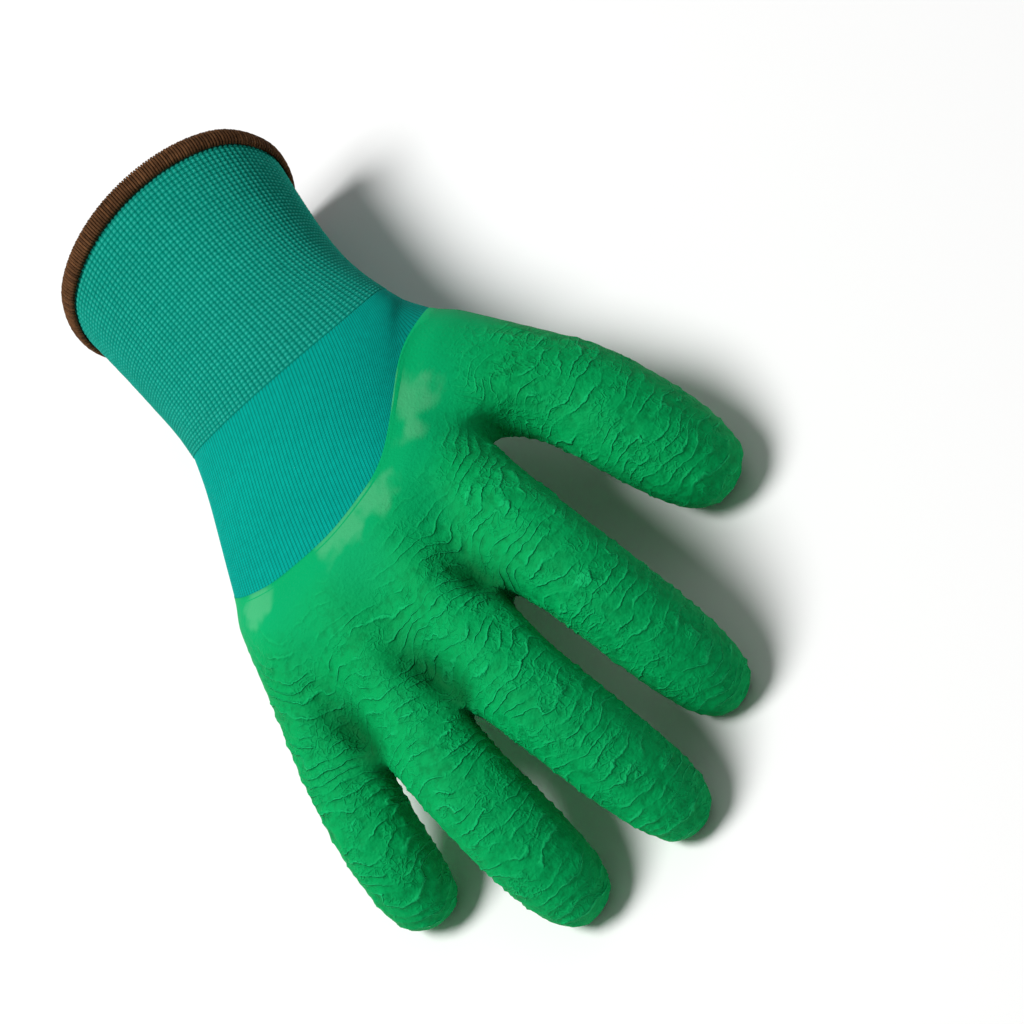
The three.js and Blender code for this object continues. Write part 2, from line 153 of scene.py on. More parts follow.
def mark_points(obj: bpy.types.Object, name: str, values: np.ndarray) -> None:
    """Keeps one number a point on a mesh, for its material to read.

    Args:
        obj: A mesh object.
        name: Name of the attribute.
        values: One number a point.
    """
    attribute = obj.data.attributes.new(name, "FLOAT", "POINT")
    attribute.data.foreach_set("value", values.astype(np.float32))


def smoothstep(low: float, high: float, value: np.ndarray) -> np.ndarray:
    """Runs softly from 0 at one value to 1 at another.

    Args:
        low: Where the result is 0.
        high: Where the result is 1.
        value: Numbers to shape.

    Returns:
        Numbers from 0 to 1.
    """
    share = np.clip((value - low) / (high - low), 0, 1)
    return share * share * (3 - 2 * share)


def grain(points: np.ndarray, size: float, seed: float = 0.0) -> np.ndarray:
    """Smooth noise through space.

    Args:
        points: Places, in metres.
        size: Size of one lump, in metres.
        seed: Moves the noise to another place.

    Returns:
        One number a place, mostly from -1 to 1.
    """
    shifted = points / size + seed
    return np.array([noise.noise(p) for p in shifted.tolist()])


def rest_on_floor(points: np.ndarray) -> np.ndarray:
    """Lets the lowest points down on to the floor, and presses flat what would sink into it.

    Args:
        points: Places, in metres.

    Returns:
        The settled places.
    """
    low = points[:, 2].min()
    settled = points.copy()
    settled[:, 2] -= max(low, 0.0) * (1 - smoothstep(0, SETTLE_REACH, points[:, 2]))
    settled[:, 2] = np.maximum(settled[:, 2], 0.0)
    return settled


def finish_piece(obj: bpy.types.Object, node: str, material: bpy.types.Material) -> None:
    """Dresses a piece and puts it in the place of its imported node.

    Args:
        obj: The finished mesh.
        node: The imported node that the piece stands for.
        material: The finish.
    """
    activate(obj)
    bpy.ops.object.shade_smooth()
    obj.data.materials.clear()
    obj.data.materials.append(material)
    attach(obj, BODY)
    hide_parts(node)
    triangles = sum(len(p.vertices) - 2 for p in obj.data.polygons)
    log.info("%s: %d triangles, stands for %s", obj.name, triangles, node)


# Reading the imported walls


def outer_skin(node: str, name: str) -> bpy.types.Object:
    """Copies the outside of a packed wall as a mesh of four-sided faces.

    Args:
        node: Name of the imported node.
        name: Name of the new object.

    Returns:
        An open mesh with the wall's outside alone.
    """
    obj = bpy.data.objects.new(name, frame["nodes"][node].data.copy())
    bpy.context.scene.collection.objects.link(obj)
    obj.data.materials.clear()
    edit_all(obj)
    bpy.ops.mesh.customdata_custom_splitnormals_clear()
    bpy.ops.mesh.remove_doubles(threshold=MERGE_DISTANCE)
    mesh = bmesh.from_edit_mesh(obj.data)
    patch = widest_patch(mesh)
    bmesh.ops.delete(mesh, geom=[f for f in mesh.faces if f not in patch], context="FACES")
    middles = {v for v in mesh.verts if len(v.link_edges) == (3 if v.is_boundary else 4)}
    diagonals = [e for e in mesh.edges if middles.isdisjoint(e.verts)]
    bmesh.ops.dissolve_edges(mesh, edges=diagonals, use_verts=False)
    bmesh.update_edit_mesh(obj.data)
    bpy.ops.object.mode_set(mode="OBJECT")
    sides = [len(p.vertices) for p in obj.data.polygons]
    log.info("%s: %d faces read, %d of them four-sided", name, len(sides), sides.count(4))
    return obj


def widest_patch(mesh: bmesh.types.BMesh) -> set[bmesh.types.BMFace]:
    """Finds the faces that hang together without a sharp fold and cover the widest area.

    Args:
        mesh: A closed wall, whose rims meet its two sides in sharp folds.

    Returns:
        The faces of its outside.
    """
    left = set(mesh.faces)
    widest, widest_area = set(), 0.0
    while left:
        start = left.pop()
        patch, stack = {start}, [start]
        while stack:
            for edge in stack.pop().edges:
                if len(edge.link_faces) != 2 or edge.calc_face_angle() > SHARP_FOLD:
                    continue
                for face in edge.link_faces:
                    if face in left:
                        left.discard(face)
                        patch.add(face)
                        stack.append(face)
        area = sum(face.calc_area() for face in patch)
        if area > widest_area:
            widest, widest_area = patch, area
    return widest


def rim_loops(mesh: bmesh.types.BMesh) -> list[list[bmesh.types.BMVert]]:
    """Follows each open edge of a mesh.

    Args:
        mesh: An open mesh.

    Returns:
        The points of each open edge, in order.
    """
    left = {e for e in mesh.edges if e.is_boundary}
    loops = []
    while left:
        edge = left.pop()
        loop = [edge.verts[0], edge.verts[1]]
        while loop[-1] is not loop[0]:
            step = next(e for e in loop[-1].link_edges if e in left)
            left.discard(step)
            loop.append(step.other_vert(loop[-1]))
        loops.append(loop[:-1])
    return loops


def rings_from_cuff_end(obj: bpy.types.Object, count: int) -> np.ndarray:
    """Reads the rings of points round a tube, from the end that lies nearest to the arm.

    Args:
        obj: An open mesh whose first rings are regular.
        count: How many rings to read.

    Returns:
        The rings, each from its lowest point on, and all the same way round.
    """
    mesh = bmesh.new()
    mesh.from_mesh(obj.data)
    loops = rim_loops(mesh)
    ring = min(loops, key=lambda loop: sum(v.co.y for v in loop) / len(loop))
    lowest = min(range(len(ring)), key=lambda i: ring[i].co.z)
    ring = ring[lowest:] + ring[:lowest]
    rings, seen = [ring], set(ring)
    for _ in range(count - 1):
        ring = [next(e.other_vert(v) for e in v.link_edges if e.other_vert(v) not in seen) for v in ring]
        seen.update(ring)
        rings.append(ring)
    places = np.array([[v.co[:] for v in r] for r in rings])
    turn = np.cross(places[0, 1] - places[0, 0], places[1, 0] - places[0, 0])
    if turn @ np.array(rings[0][0].normal) < 0:
        places = np.roll(places[:, ::-1], 1, axis=1)
    mesh.free()
    return places


def spline_weights(share: np.ndarray) -> np.ndarray:
    """Weights of the four points round each place on a smooth line.

    Args:
        share: How far each place lies from its second point to its third.

    Returns:
        One row of four weights a place.
    """
    square, cube = share**2, share**3
    rows = [(1 - share) ** 3, 3 * cube - 6 * square + 4, -3 * cube + 3 * square + 3 * share + 1, cube]
    return np.stack(rows, -1) / 6


@dataclass
class TubeSurface:
    """The smooth surface through rings of points round a tube.

    Args:
        rings: Points by ring and by place round it, in metres.
    """

    rings: np.ndarray
    rows: np.ndarray = field(init=False)
    pace: np.ndarray = field(init=False)

    def __post_init__(self) -> None:
        """Adds a ring beyond each end, and measures how far each point lies round the tube."""
        first, last = self.rings[0], self.rings[-1]
        before, after = 2 * first - self.rings[1], 2 * last - self.rings[-2]
        self.rows = np.concatenate([[before], self.rings, [after]])
        steps = np.linalg.norm(np.roll(self.rings, -1, axis=1) - self.rings, axis=2).mean(0)
        self.pace = np.concatenate([[0], np.cumsum(steps)]) / steps.sum()

    def around(self, count: int) -> np.ndarray:
        """Even places round the tube, in steps of its points.

        Args:
            count: How many places.

        Returns:
            The places, from 0 to the number of points in a ring.
        """
        return np.interp(np.arange(count) / count, self.pace, np.arange(len(self.pace)))

    def at(self, along: np.ndarray, around: np.ndarray) -> np.ndarray:
        """Points of the surface.

        Args:
            along: Places along the tube, in rings.
            around: Places round it, in points.

        Returns:
            Points by place along and place round.
        """
        columns = self.rings.shape[1]
        base = np.floor(around).astype(int)
        weights = spline_weights(around - base)
        picked = [self.rows[:, (base + k - 1) % columns] * weights[:, k, None] for k in range(4)]
        lines = sum(picked)
        base = np.clip(np.floor(along).astype(int), 0, len(self.rings) - 2)
        weights = spline_weights(along - base)
        return sum(lines[base + k] * weights[:, k, None, None] for k in range(4))

    def facing(self, points: np.ndarray) -> np.ndarray:
        """Outward directions at a grid of points of the surface.

        Args:
            points: Points by place along and place round.

        Returns:
            One unit row a point.
        """
        round_step = np.roll(points, -1, axis=1) - np.roll(points, 1, axis=1)
        along_step = np.gradient(points, axis=0)
        normal = np.cross(round_step, along_step)
        if ((points - points.mean((0, 1))) * normal).sum() < 0:
            normal = -normal
        return normal / np.linalg.norm(normal, axis=2, keepdims=True)


def rolled_sheet(
    name: str, rings: np.ndarray, marks: dict[str, np.ndarray], across: np.ndarray, along: np.ndarray
) -> bpy.types.Object:
    """Rolls a flat sheet of faces into a closed wall round a tube.

    Args:
        name: Name of the new object.
        rings: Points by place round the wall's section and by place round the tube.
        marks: Numbers for the material, by name, laid out as the points.
        across: Rib count at each place round the tube, with one more for the seam.
        along: Course count at each place round the section, with one more for the seam.

    Returns:
        The wall, with a UV map that counts its stitches.
    """
    loop, columns = rings.shape[:2]
    select_nothing()
    bpy.ops.mesh.primitive_grid_add(x_subdivisions=columns, y_subdivisions=loop, size=1.0, calc_uvs=False)
    obj = bpy.context.active_object
    obj.name = name
    flat = points_of(obj) + 0.5
    column = np.rint(flat[:, 0] * columns).astype(int)
    row = np.rint(flat[:, 1] * loop).astype(int)
    move_points(obj, rings[row % loop, column % columns])
    for key, values in marks.items():
        mark_points(obj, key, values[row % loop, column % columns])
    corners = np.empty(len(obj.data.loops), np.int32)
    obj.data.loops.foreach_get("vertex_index", corners)
    layer = obj.data.uv_layers.new(name="stitches")
    pairs = np.stack([across[column[corners]], along[row[corners]]], -1).astype(np.float32)
    layer.data.foreach_set("uv", pairs.ravel())
    edit_all(obj)
    bpy.ops.mesh.remove_doubles(threshold=MERGE_DISTANCE / 10)
    bpy.ops.object.mode_set(mode="OBJECT")
    turn_outwards(obj)
    return obj


def turn_outwards(obj: bpy.types.Object) -> None:
    """Turns a closed mesh so that its faces point outwards.

    Args:
        obj: A closed mesh.
    """
    mesh = bmesh.new()
    mesh.from_mesh(obj.data)
    inside_out = mesh.calc_volume(signed=True) < 0
    mesh.free()
    if inside_out:
        edit_all(obj)
        bpy.ops.mesh.flip_normals()
        bpy.ops.object.mode_set(mode="OBJECT")


# Shader helpers


class Board:
    """Places shader nodes in one tree and joins them."""

    def __init__(self, tree: bpy.types.NodeTree) -> None:
        """Keeps the tree that the nodes go into."""
        self.tree = tree

    def feed(self, socket: bpy.types.NodeSocket, value: object) -> None:
        """Joins an input to another node's output, or sets it.

        Args:
            socket: The input.
            value: The output, or a number, vector or colour.
        """
        if isinstance(value, bpy.types.NodeSocket):
            self.tree.links.new(value, socket)
        else:
            socket.default_value = value

    def add(self, kind: str, values: dict | None = None, **settings: object) -> bpy.types.Node:
        """Adds a node.

        Args:
            kind: The node's type, without its Shader Node prefix.
            values: Numbers, colours or sockets for its inputs, by name or place.
            **settings: The node's own options.

        Returns:
            The new node.
        """
        node = self.tree.nodes.new("ShaderNode" + kind)
        for key, value in settings.items():
            setattr(node, key, value)
        for key, value in (values or {}).items():
            self.feed(node.inputs[key], value)
        return node

    def math(self, operation: str, *values: object) -> bpy.types.NodeSocket:
        """Adds a sum and gives its result.

        Args:
            operation: The kind of sum.
            *values: Its numbers or sockets.

        Returns:
            The result's socket.
        """
        return self.add("Math", dict(enumerate(values)), operation=operation).outputs[0]

    def times(self, first: object, second: object) -> bpy.types.NodeSocket:
        """Multiplies two numbers."""
        return self.math("MULTIPLY", first, second)

    def plus(self, first: object, second: object) -> bpy.types.NodeSocket:
        """Adds two numbers."""
        return self.math("ADD", first, second)

    def away(self, value: object, middle: float) -> bpy.types.NodeSocket:
        """Measures how far a number lies from another one."""
        return self.math("ABSOLUTE", self.math("SUBTRACT", value, middle))

    def arch(self, away: object, reach: float) -> bpy.types.NodeSocket:
        """Draws an arch over a middle.

        Args:
            away: Distance from the middle.
            reach: Distance at which the arch comes down to 0.

        Returns:
            The arch's height, which is 1 at the middle.
        """
        return self.math("SUBTRACT", 1.0, self.math("POWER", self.times(away, 1 / reach), 2.0))

    def spread(self, value: object, low: float, high: float) -> bpy.types.NodeSocket:
        """Runs softly from 0 at one value to 1 at another.

        Args:
            value: The number's socket.
            low: Where the result is 0.
            high: Where the result is 1.

        Returns:
            The result's socket.
        """
        inputs = {"Value": value, "From Min": low, "From Max": high}
        return self.add("MapRange", inputs, interpolation_type="SMOOTHSTEP").outputs[0]

    def noise(self, place: object, scale: object, detail: float, **values: float) -> bpy.types.Node:
        """Adds smooth noise.

        Args:
            place: The place on the object.
            scale: How many lumps there are in a metre.
            detail: How many finer layers are added.
            **values: Further numbers, by the names of the node's inputs.

        Returns:
            The new node, whose first output is a number.
        """
        return self.add("TexNoise", {"Vector": place, "Scale": scale, "Detail": detail, **values})

    def blend(self, share: object, first: object, second: object, way: str = "MIX") -> bpy.types.NodeSocket:
        """Mixes two colours.

        Args:
            share: How much of the second colour.
            first: The first colour or its socket.
            second: The second colour or its socket.
            way: How they mix.

        Returns:
            The mixed colour's socket.
        """
        node = self.add("Mix", data_type="RGBA", blend_type=way)
        for socket, value in zip((node.inputs[0], node.inputs[6], node.inputs[7]), (share, first, second)):
            self.feed(socket, value)
        return node.outputs[2]

    def attribute(self, name: str) -> bpy.types.NodeSocket:
        """Reads one number a point from the mesh."""
        return self.add("Attribute", attribute_name=name).outputs["Fac"]

    def place(self) -> bpy.types.NodeSocket:
        """Reads the place on the object."""
        return self.add("TexCoord").outputs["Object"]

    def group(self, group: bpy.types.NodeTree, **values: object) -> bpy.types.Node:
        """Adds a shared effect.

        Args:
            group: The effect.
            **values: Numbers or sockets for its inputs.

        Returns:
            The new node.
        """
        node = self.add("Group", node_tree=group)
        for key, value in values.items():
            self.feed(node.inputs[key], value)
        return node


def colour(red: int, green: int, blue: int) -> Colour:
    """Turns a colour as seen, from 0 to 255, into the light that a shader works with.

    Args:
        red: Share of red.
        green: Share of green.
        blue: Share of blue.

    Returns:
        The colour with full cover.
    """
    parts = [c / 255 for c in (red, green, blue)]
    light = [c / 12.92 if c <= 0.04045 else ((c + 0.055) / 1.055) ** 2.4 for c in parts]
    return (*light, 1.0)


def new_effect(
    name: str, inputs: dict[str, float], outputs: list[str]
) -> tuple[Board, bpy.types.bpy_prop_collection, bpy.types.bpy_prop_collection]:
    """Starts a shared shader effect.

    Args:
        name: Name of the effect.
        inputs: Its numbers and what they are unless set; Place is always there.
        outputs: Its results.

    Returns:
        A board for its nodes, the sockets of its numbers and those of its results.
    """
    tree = bpy.data.node_groups.new(name, "ShaderNodeTree")
    tree.interface.new_socket("Place", in_out="INPUT", socket_type="NodeSocketVector")
    for key, value in inputs.items():
        socket = tree.interface.new_socket(key, in_out="INPUT", socket_type="NodeSocketFloat")
        socket.default_value = value
    for key in outputs:
        tree.interface.new_socket(key, in_out="OUTPUT", socket_type="NodeSocketFloat")
    entry = tree.nodes.new("NodeGroupInput")
    leave = tree.nodes.new("NodeGroupOutput")
    return Board(tree), entry.outputs, leave.inputs


def yarn_fibres() -> bpy.types.NodeTree:
    """Builds the fine fibres that stand in all the yarns: a shade and a height."""
    inputs = {"Scale": 2500.0, "Contrast": 0.3}
    board, given, result = new_effect("yarn_fibres", inputs, ["Shade", "Height"])
    fine = board.noise(given["Place"], given["Scale"], 3.0, Roughness=0.65).outputs[0]
    soft = board.noise(given["Place"], board.times(given["Scale"], 0.21), 2.0).outputs[0]
    board.feed(result["Shade"], swing(board, board.times(board.plus(fine, soft), 0.5), given["Contrast"]))
    board.feed(result["Height"], fine)
    return board.tree


def tone_drift() -> bpy.types.NodeTree:
    """Builds the slow change of tone over a piece, from dye and handling."""
    board, given, result = new_effect("tone_drift", {"Scale": 25.0, "Amount": 0.1}, ["Shade"])
    wide = board.noise(given["Place"], given["Scale"], 2.0, Distortion=0.6).outputs[0]
    board.feed(result["Shade"], swing(board, wide, given["Amount"]))
    return board.tree


def swing(board: Board, level: bpy.types.NodeSocket, amount: bpy.types.NodeSocket) -> bpy.types.NodeSocket:
    """Turns noise into a shade that swings round 1.

    Args:
        board: The board of the effect.
        level: The noise's socket.
        amount: The socket of how far it swings.

    Returns:
        The shade's socket.
    """
    part = board.times(board.math("SUBTRACT", level, 0.5), amount)
    return board.plus(board.times(part, 2.0), 1.0)


@dataclass
class Effects:
    """The effects that more than one finish uses."""

    fibres: bpy.types.NodeTree = field(default_factory=yarn_fibres)
    drift: bpy.types.NodeTree = field(default_factory=tone_drift)


def new_material(name: str) -> tuple[bpy.types.Material, Board, bpy.types.Node]:
    """Starts a finish.

    Args:
        name: Name of the material.

    Returns:
        The material, a board for its nodes and its main shader.
    """
    material = bpy.data.materials.new(name)
    material.use_nodes = True
    shader = material.node_tree.nodes["Principled BSDF"]
    return material, Board(material.node_tree), shader


def scaled(board: Board, shade: bpy.types.NodeSocket, base: object) -> bpy.types.NodeSocket:
    """Multiplies a colour by a shade.

    Args:
        board: The board of the material.
        shade: The shade's socket.
        base: The colour's socket.

    Returns:
        The shaded colour's socket.
    """
    grey = board.add("CombineColor", {"Red": shade, "Green": shade, "Blue": shade})
    return board.blend(1.0, base, grey.outputs[0], "MULTIPLY")


def dress(
    board: Board, shader: bpy.types.Node, tone: object, bump: dict[str, object], fixed: dict[str, object]
) -> None:
    """Gives a finish its colour, its bump and what is the same all over it.

    Args:
        board: The board of the material.
        shader: Its main shader.
        tone: The colour's socket.
        bump: The bump's height, strength and distance.
        fixed: Numbers and colours of the shader's own inputs, by name.
    """
    board.feed(shader.inputs["Base Color"], tone)
    board.feed(shader.inputs["Normal"], board.add("Bump", bump).outputs[0])
    for name, value in fixed.items():
        shader.inputs[name].default_value = value


class Stitch(Enum):
    """How a knit is made."""

    WAFFLE = "waffle rib"
    JERSEY = "plain jersey"


@dataclass(frozen=True)
class KnitFinish:
    """A dyed yarn, knitted in one of the glove's two stitches, with painted shade in its grooves and a
    painted highlight on its crests.
    """

    name: str
    stitch: Stitch
    # Painted shade in the grooves, the yarn's own colour, and a painted highlight on the crests
    groove_shade: Colour
    body: Colour
    crest: Colour
    stitch_depth: float
    fibre_contrast: float = 0.35
    relief_share: float = 0.65
    fibre_height: float = 0.12
    bump: float = 0.8
    roughness: float = 0.85
    gloss: float = 0.04
    sheen: float = 0.04
    sheen_roughness: float = 0.5

    def material(self, effects: Effects) -> bpy.types.Material:
        """Builds the finish.

        Args:
            effects: The shared effects.

        Returns:
            The new material.
        """
        material, board, shader = new_material(self.name)
        stitches = board.add("SeparateXYZ", {0: board.add("UVMap", uv_map="stitches").outputs[0]})
        loops = self.loops(board, stitches.outputs[0], stitches.outputs[1])
        modelled = board.times(board.attribute("relief"), self.relief_share)
        level = board.plus(modelled, board.times(loops, 1 - self.relief_share))
        # Painted shade on the low stitches and painted highlight on the high ones, by their height
        low = board.blend(board.spread(level, 0.1, 0.55), self.groove_shade, self.body)
        tone = board.blend(board.spread(level, 0.5, 0.95), low, self.crest)
        place = board.place()
        fibres = board.group(effects.fibres, Place=place, Contrast=self.fibre_contrast)
        drift = board.group(effects.drift, Place=place)
        shade = board.times(fibres.outputs["Shade"], drift.outputs["Shade"])
        height = board.plus(loops, board.times(fibres.outputs["Height"], self.fibre_height))
        bump = {"Height": height, "Strength": self.bump, "Distance": self.stitch_depth}
        fixed = {
            "Roughness": self.roughness,
            "Specular IOR Level": self.gloss,
            "Sheen Weight": self.sheen,
            "Sheen Roughness": self.sheen_roughness,
            "Sheen Tint": self.crest,
        }
        dress(board, shader, scaled(board, shade, tone), bump, fixed)
        return material

    def loops(self, board: Board, across: object, along: object) -> bpy.types.NodeSocket:
        """Draws the yarn loops of the stitch.

        Args:
            board: The board of the material.
            across: Place round the tube, in ribs.
            along: Place along it, in courses.

        Returns:
            A height from 0 to 1.
        """
        wales, rows = (2.0, 2.0) if self.stitch is Stitch.WAFFLE else (1.0, 1.0)
        side = board.away(board.math("FRACT", board.times(across, wales)), 0.5)
        course = board.math("FRACT", board.plus(board.times(along, rows), board.times(side, 0.9)))
        leg = board.arch(board.away(course, 0.5), 0.5)
        return board.times(leg, board.arch(board.away(side, 0.25), 0.25))


@dataclass(frozen=True)
class YarnFinish:
    """The brown yarn of the overlocked edge."""

    name: str = "overlock_yarn"
    dark: Colour = colour(40, 27, 18)
    light: Colour = colour(110, 74, 46)
    fibre_scale: float = 2600.0
    fibre_contrast: float = 1.3
    drift_scale: float = 120.0
    drift_amount: float = 0.35
    bump: float = 0.9
    fibre_depth: float = 0.4 * MM
    roughness: float = 0.9
    gloss: float = 0.08
    sheen: float = 0.12

    def material(self, effects: Effects) -> bpy.types.Material:
        """Builds the finish.

        Args:
            effects: The shared effects.

        Returns:
            The new material.
        """
        material, board, shader = new_material(self.name)
        place = board.place()
        scale, contrast = self.fibre_scale, self.fibre_contrast
        fibres = board.group(effects.fibres, Place=place, Scale=scale, Contrast=contrast)
        drift = board.group(effects.drift, Place=place, Scale=self.drift_scale, Amount=self.drift_amount)
        tone = board.blend(board.spread(board.attribute("strand"), 0.0, 1.0), self.dark, self.light)
        shade = board.times(fibres.outputs["Shade"], drift.outputs["Shade"])
        bump = {"Height": fibres.outputs["Height"], "Strength": self.bump, "Distance": self.fibre_depth}
        fixed = {
            "Roughness": self.roughness,
            "Specular IOR Level": self.gloss,
            "Sheen Weight": self.sheen,
            "Sheen Tint": self.light,
        }
        dress(board, shader, scaled(board, shade, tone), bump, fixed)
        return material


@dataclass(frozen=True)
class LatexFinish:
    """Green dipped latex: smooth near its edge, crinkled over the fingers and the palm.

    The first fields are its colours: the colour of the crests is a painted highlight on the raised places,
    and the colours of the creases and of the valleys are painted shade, in the sunk places, dips and behind
    the ridges and in the valleys between the fingers. Each share says how strongly a colour shows at most,
    each height is a share of the bump's depth, each scale is a number of lumps in a metre, and each sway is
    a share of a ridge's spacing.
    """

    name: str = "crinkle_latex"
    smooth: Colour = colour(0, 163, 98)
    crinkled: Colour = colour(0, 158, 84)
    # Painted shade in the creases and painted highlight on the crests
    crease_shade: Colour = colour(0, 78, 34)
    crest: Colour = colour(18, 186, 108)
    thin: Colour = colour(88, 180, 126)
    # Painted shade in the valleys between the fingers
    valley_shade: Colour = colour(0, 70, 28)
    # How strongly the painted highlights, the painted shade and the pale patches show at most
    raised_highlight_share: float = 0.3
    sunk_shade_share: float = 0.45
    dimple_shade_share: float = 0.28
    lee_shadow_share: float = 0.24
    net_highlight_share: float = 0.16
    crest_highlight_share: float = 0.7
    valley_shade_share: float = 0.8
    thin_share: float = 0.5
    bump_depth: float = 1.0 * MM
    crest_height: float = 0.37
    net_height: float = 0.16
    mottle_height: float = 0.45
    grain_height: float = 0.17
    mottle_scale: float = 430.0
    grain_scale: float = 1300.0
    slow_scale: float = 330.0
    slow_sway: float = 0.6
    quick_scale: float = 1100.0
    quick_sway: float = 0.1
    net_scale: float = 400.0
    warp_scale: float = 300.0
    patch_scale: float = 140.0
    net_warp: float = 6 * MM
    drift_scale: float = 40.0
    drift_amount: float = 0.08
    roughness: float = 0.68
    gloss: float = 0.05

    def material(self, effects: Effects) -> bpy.types.Material:
        """Builds the finish.

        Args:
            effects: The shared effects.

        Returns:
            The new material.
        """
        material, board, shader = new_material(self.name)
        place = board.place()
        crinkle = board.attribute("crinkle")
        crest, lee_shadow = self.ridges(board, place)
        net = self.net(board, place)
        mottle = board.noise(place, self.mottle_scale, 2.5, Roughness=0.55).outputs[0]
        fine = board.noise(place, self.grain_scale, 2.0).outputs[0]
        tone = self.tone(board, crinkle, crest, lee_shadow, net, mottle)
        drift = board.group(effects.drift, Place=place, Scale=self.drift_scale, Amount=self.drift_amount)
        wrinkles = board.times(crest, self.crest_height)
        for part, height in ((net, self.net_height), (mottle, self.mottle_height)):
            wrinkles = board.plus(wrinkles, board.times(part, height))
        height = board.plus(board.times(wrinkles, crinkle), board.times(fine, self.grain_height))
        bump = {"Height": height, "Strength": 1.0, "Distance": self.bump_depth}
        fixed = {"Roughness": self.roughness, "Specular IOR Level": self.gloss}
        dress(board, shader, scaled(board, drift.outputs["Shade"], tone), bump, fixed)
        return material

    def tone(
        self,
        board: Board,
        crinkle: bpy.types.NodeSocket,
        crest: bpy.types.NodeSocket,
        lee_shadow: bpy.types.NodeSocket,
        net: bpy.types.NodeSocket,
        mottle: bpy.types.NodeSocket,
    ) -> bpy.types.NodeSocket:
        """Mixes the colours of the latex, with painted highlight and painted shade that follow its wrinkles.

        Args:
            board: The board of the material.
            crinkle: How crinkled the place is.
            crest: How near a ridge's crest it is, where a painted highlight lies.
            lee_shadow: How near the foot behind a ridge it is, where a painted shadow lies.
            net: How near a fine wrinkle it is, where a painted highlight lies.
            mottle: The soft unevenness between the wrinkles, whose dips take painted shade.

        Returns:
            The colour's socket.
        """
        tone = board.blend(crinkle, self.smooth, self.crinkled)
        relief = board.attribute("relief")
        # Painted shade in the dips of the soft unevenness
        dimple_shade = board.times(board.spread(mottle, 0.5, 0.3), crinkle)
        # Painted highlight on raised places, fine wrinkles and crests; painted shade in sunk places, dips,
        # behind each ridge and in the valleys; then the pale patches
        for mask, share, paint in (
            (board.spread(relief, 0.5, 1.0), self.raised_highlight_share, self.crest),
            (board.spread(relief, 0.45, 0.0), self.sunk_shade_share, self.crease_shade),
            (dimple_shade, self.dimple_shade_share, self.crease_shade),
            (lee_shadow, self.lee_shadow_share, self.crease_shade),
            (board.times(net, crinkle), self.net_highlight_share, self.crest),
            (crest, self.crest_highlight_share, self.crest),
            (board.attribute("valley_shade"), self.valley_shade_share, self.valley_shade),
            (board.attribute("thin"), self.thin_share, self.thin),
        ):
            tone = board.blend(board.times(mask, share), tone, paint)
        return tone

    def ridges(self, board: Board, place: object) -> tuple[bpy.types.NodeSocket, bpy.types.NodeSocket]:
        """Draws the thin crests on top of the modelled ridges, and the foot behind each, for a painted
        highlight and a painted shadow.

        Args:
            board: The board of the material.
            place: The place on the object.

        Returns:
            How near the crest and how near the foot behind it each place is, from 0 to 1: where the painted
            highlight and where the painted shadow lie.
        """
        slow = board.noise(place, self.slow_scale, 2.0).outputs[0]
        quick = board.noise(place, self.quick_scale, 1.0).outputs[0]
        sway = board.plus(board.times(slow, self.slow_sway), board.times(quick, self.quick_sway))
        phase = board.math("FRACT", board.plus(board.attribute("ridge_count"), sway))
        strength = board.attribute("ridge_strength")
        crest = board.times(board.spread(board.away(phase, 0.5), 0.13, 0.02), strength)
        # Painted shadow at the foot behind each ridge
        foot = board.times(board.spread(phase, 0.53, 0.6), board.spread(phase, 0.84, 0.64))
        return crest, board.times(foot, strength)

    def net(self, board: Board, place: object) -> bpy.types.NodeSocket:
        """Draws the fine net of wrinkles between the ridges.

        Args:
            board: The board of the material.
            place: The place on the object.

        Returns:
            How near a wrinkle each place is, from 0 to 1.
        """
        warp = board.noise(place, self.warp_scale, 2.0).outputs["Color"]
        push = board.add("VectorMath", {0: warp, 1: (self.net_warp,) * 3}, operation="MULTIPLY")
        moved = board.add("VectorMath", {0: place, 1: push.outputs[0]}, operation="ADD")
        inputs = {"Vector": moved.outputs[0], "Scale": self.net_scale}
        cells = board.add("TexVoronoi", inputs, feature="DISTANCE_TO_EDGE")
        patches = board.noise(place, self.patch_scale, 1.0).outputs[0]
        line = board.spread(cells.outputs["Distance"], 0.16, 0.02)
        return board.times(line, board.spread(patches, 0.42, 0.6))


# The pieces of the glove


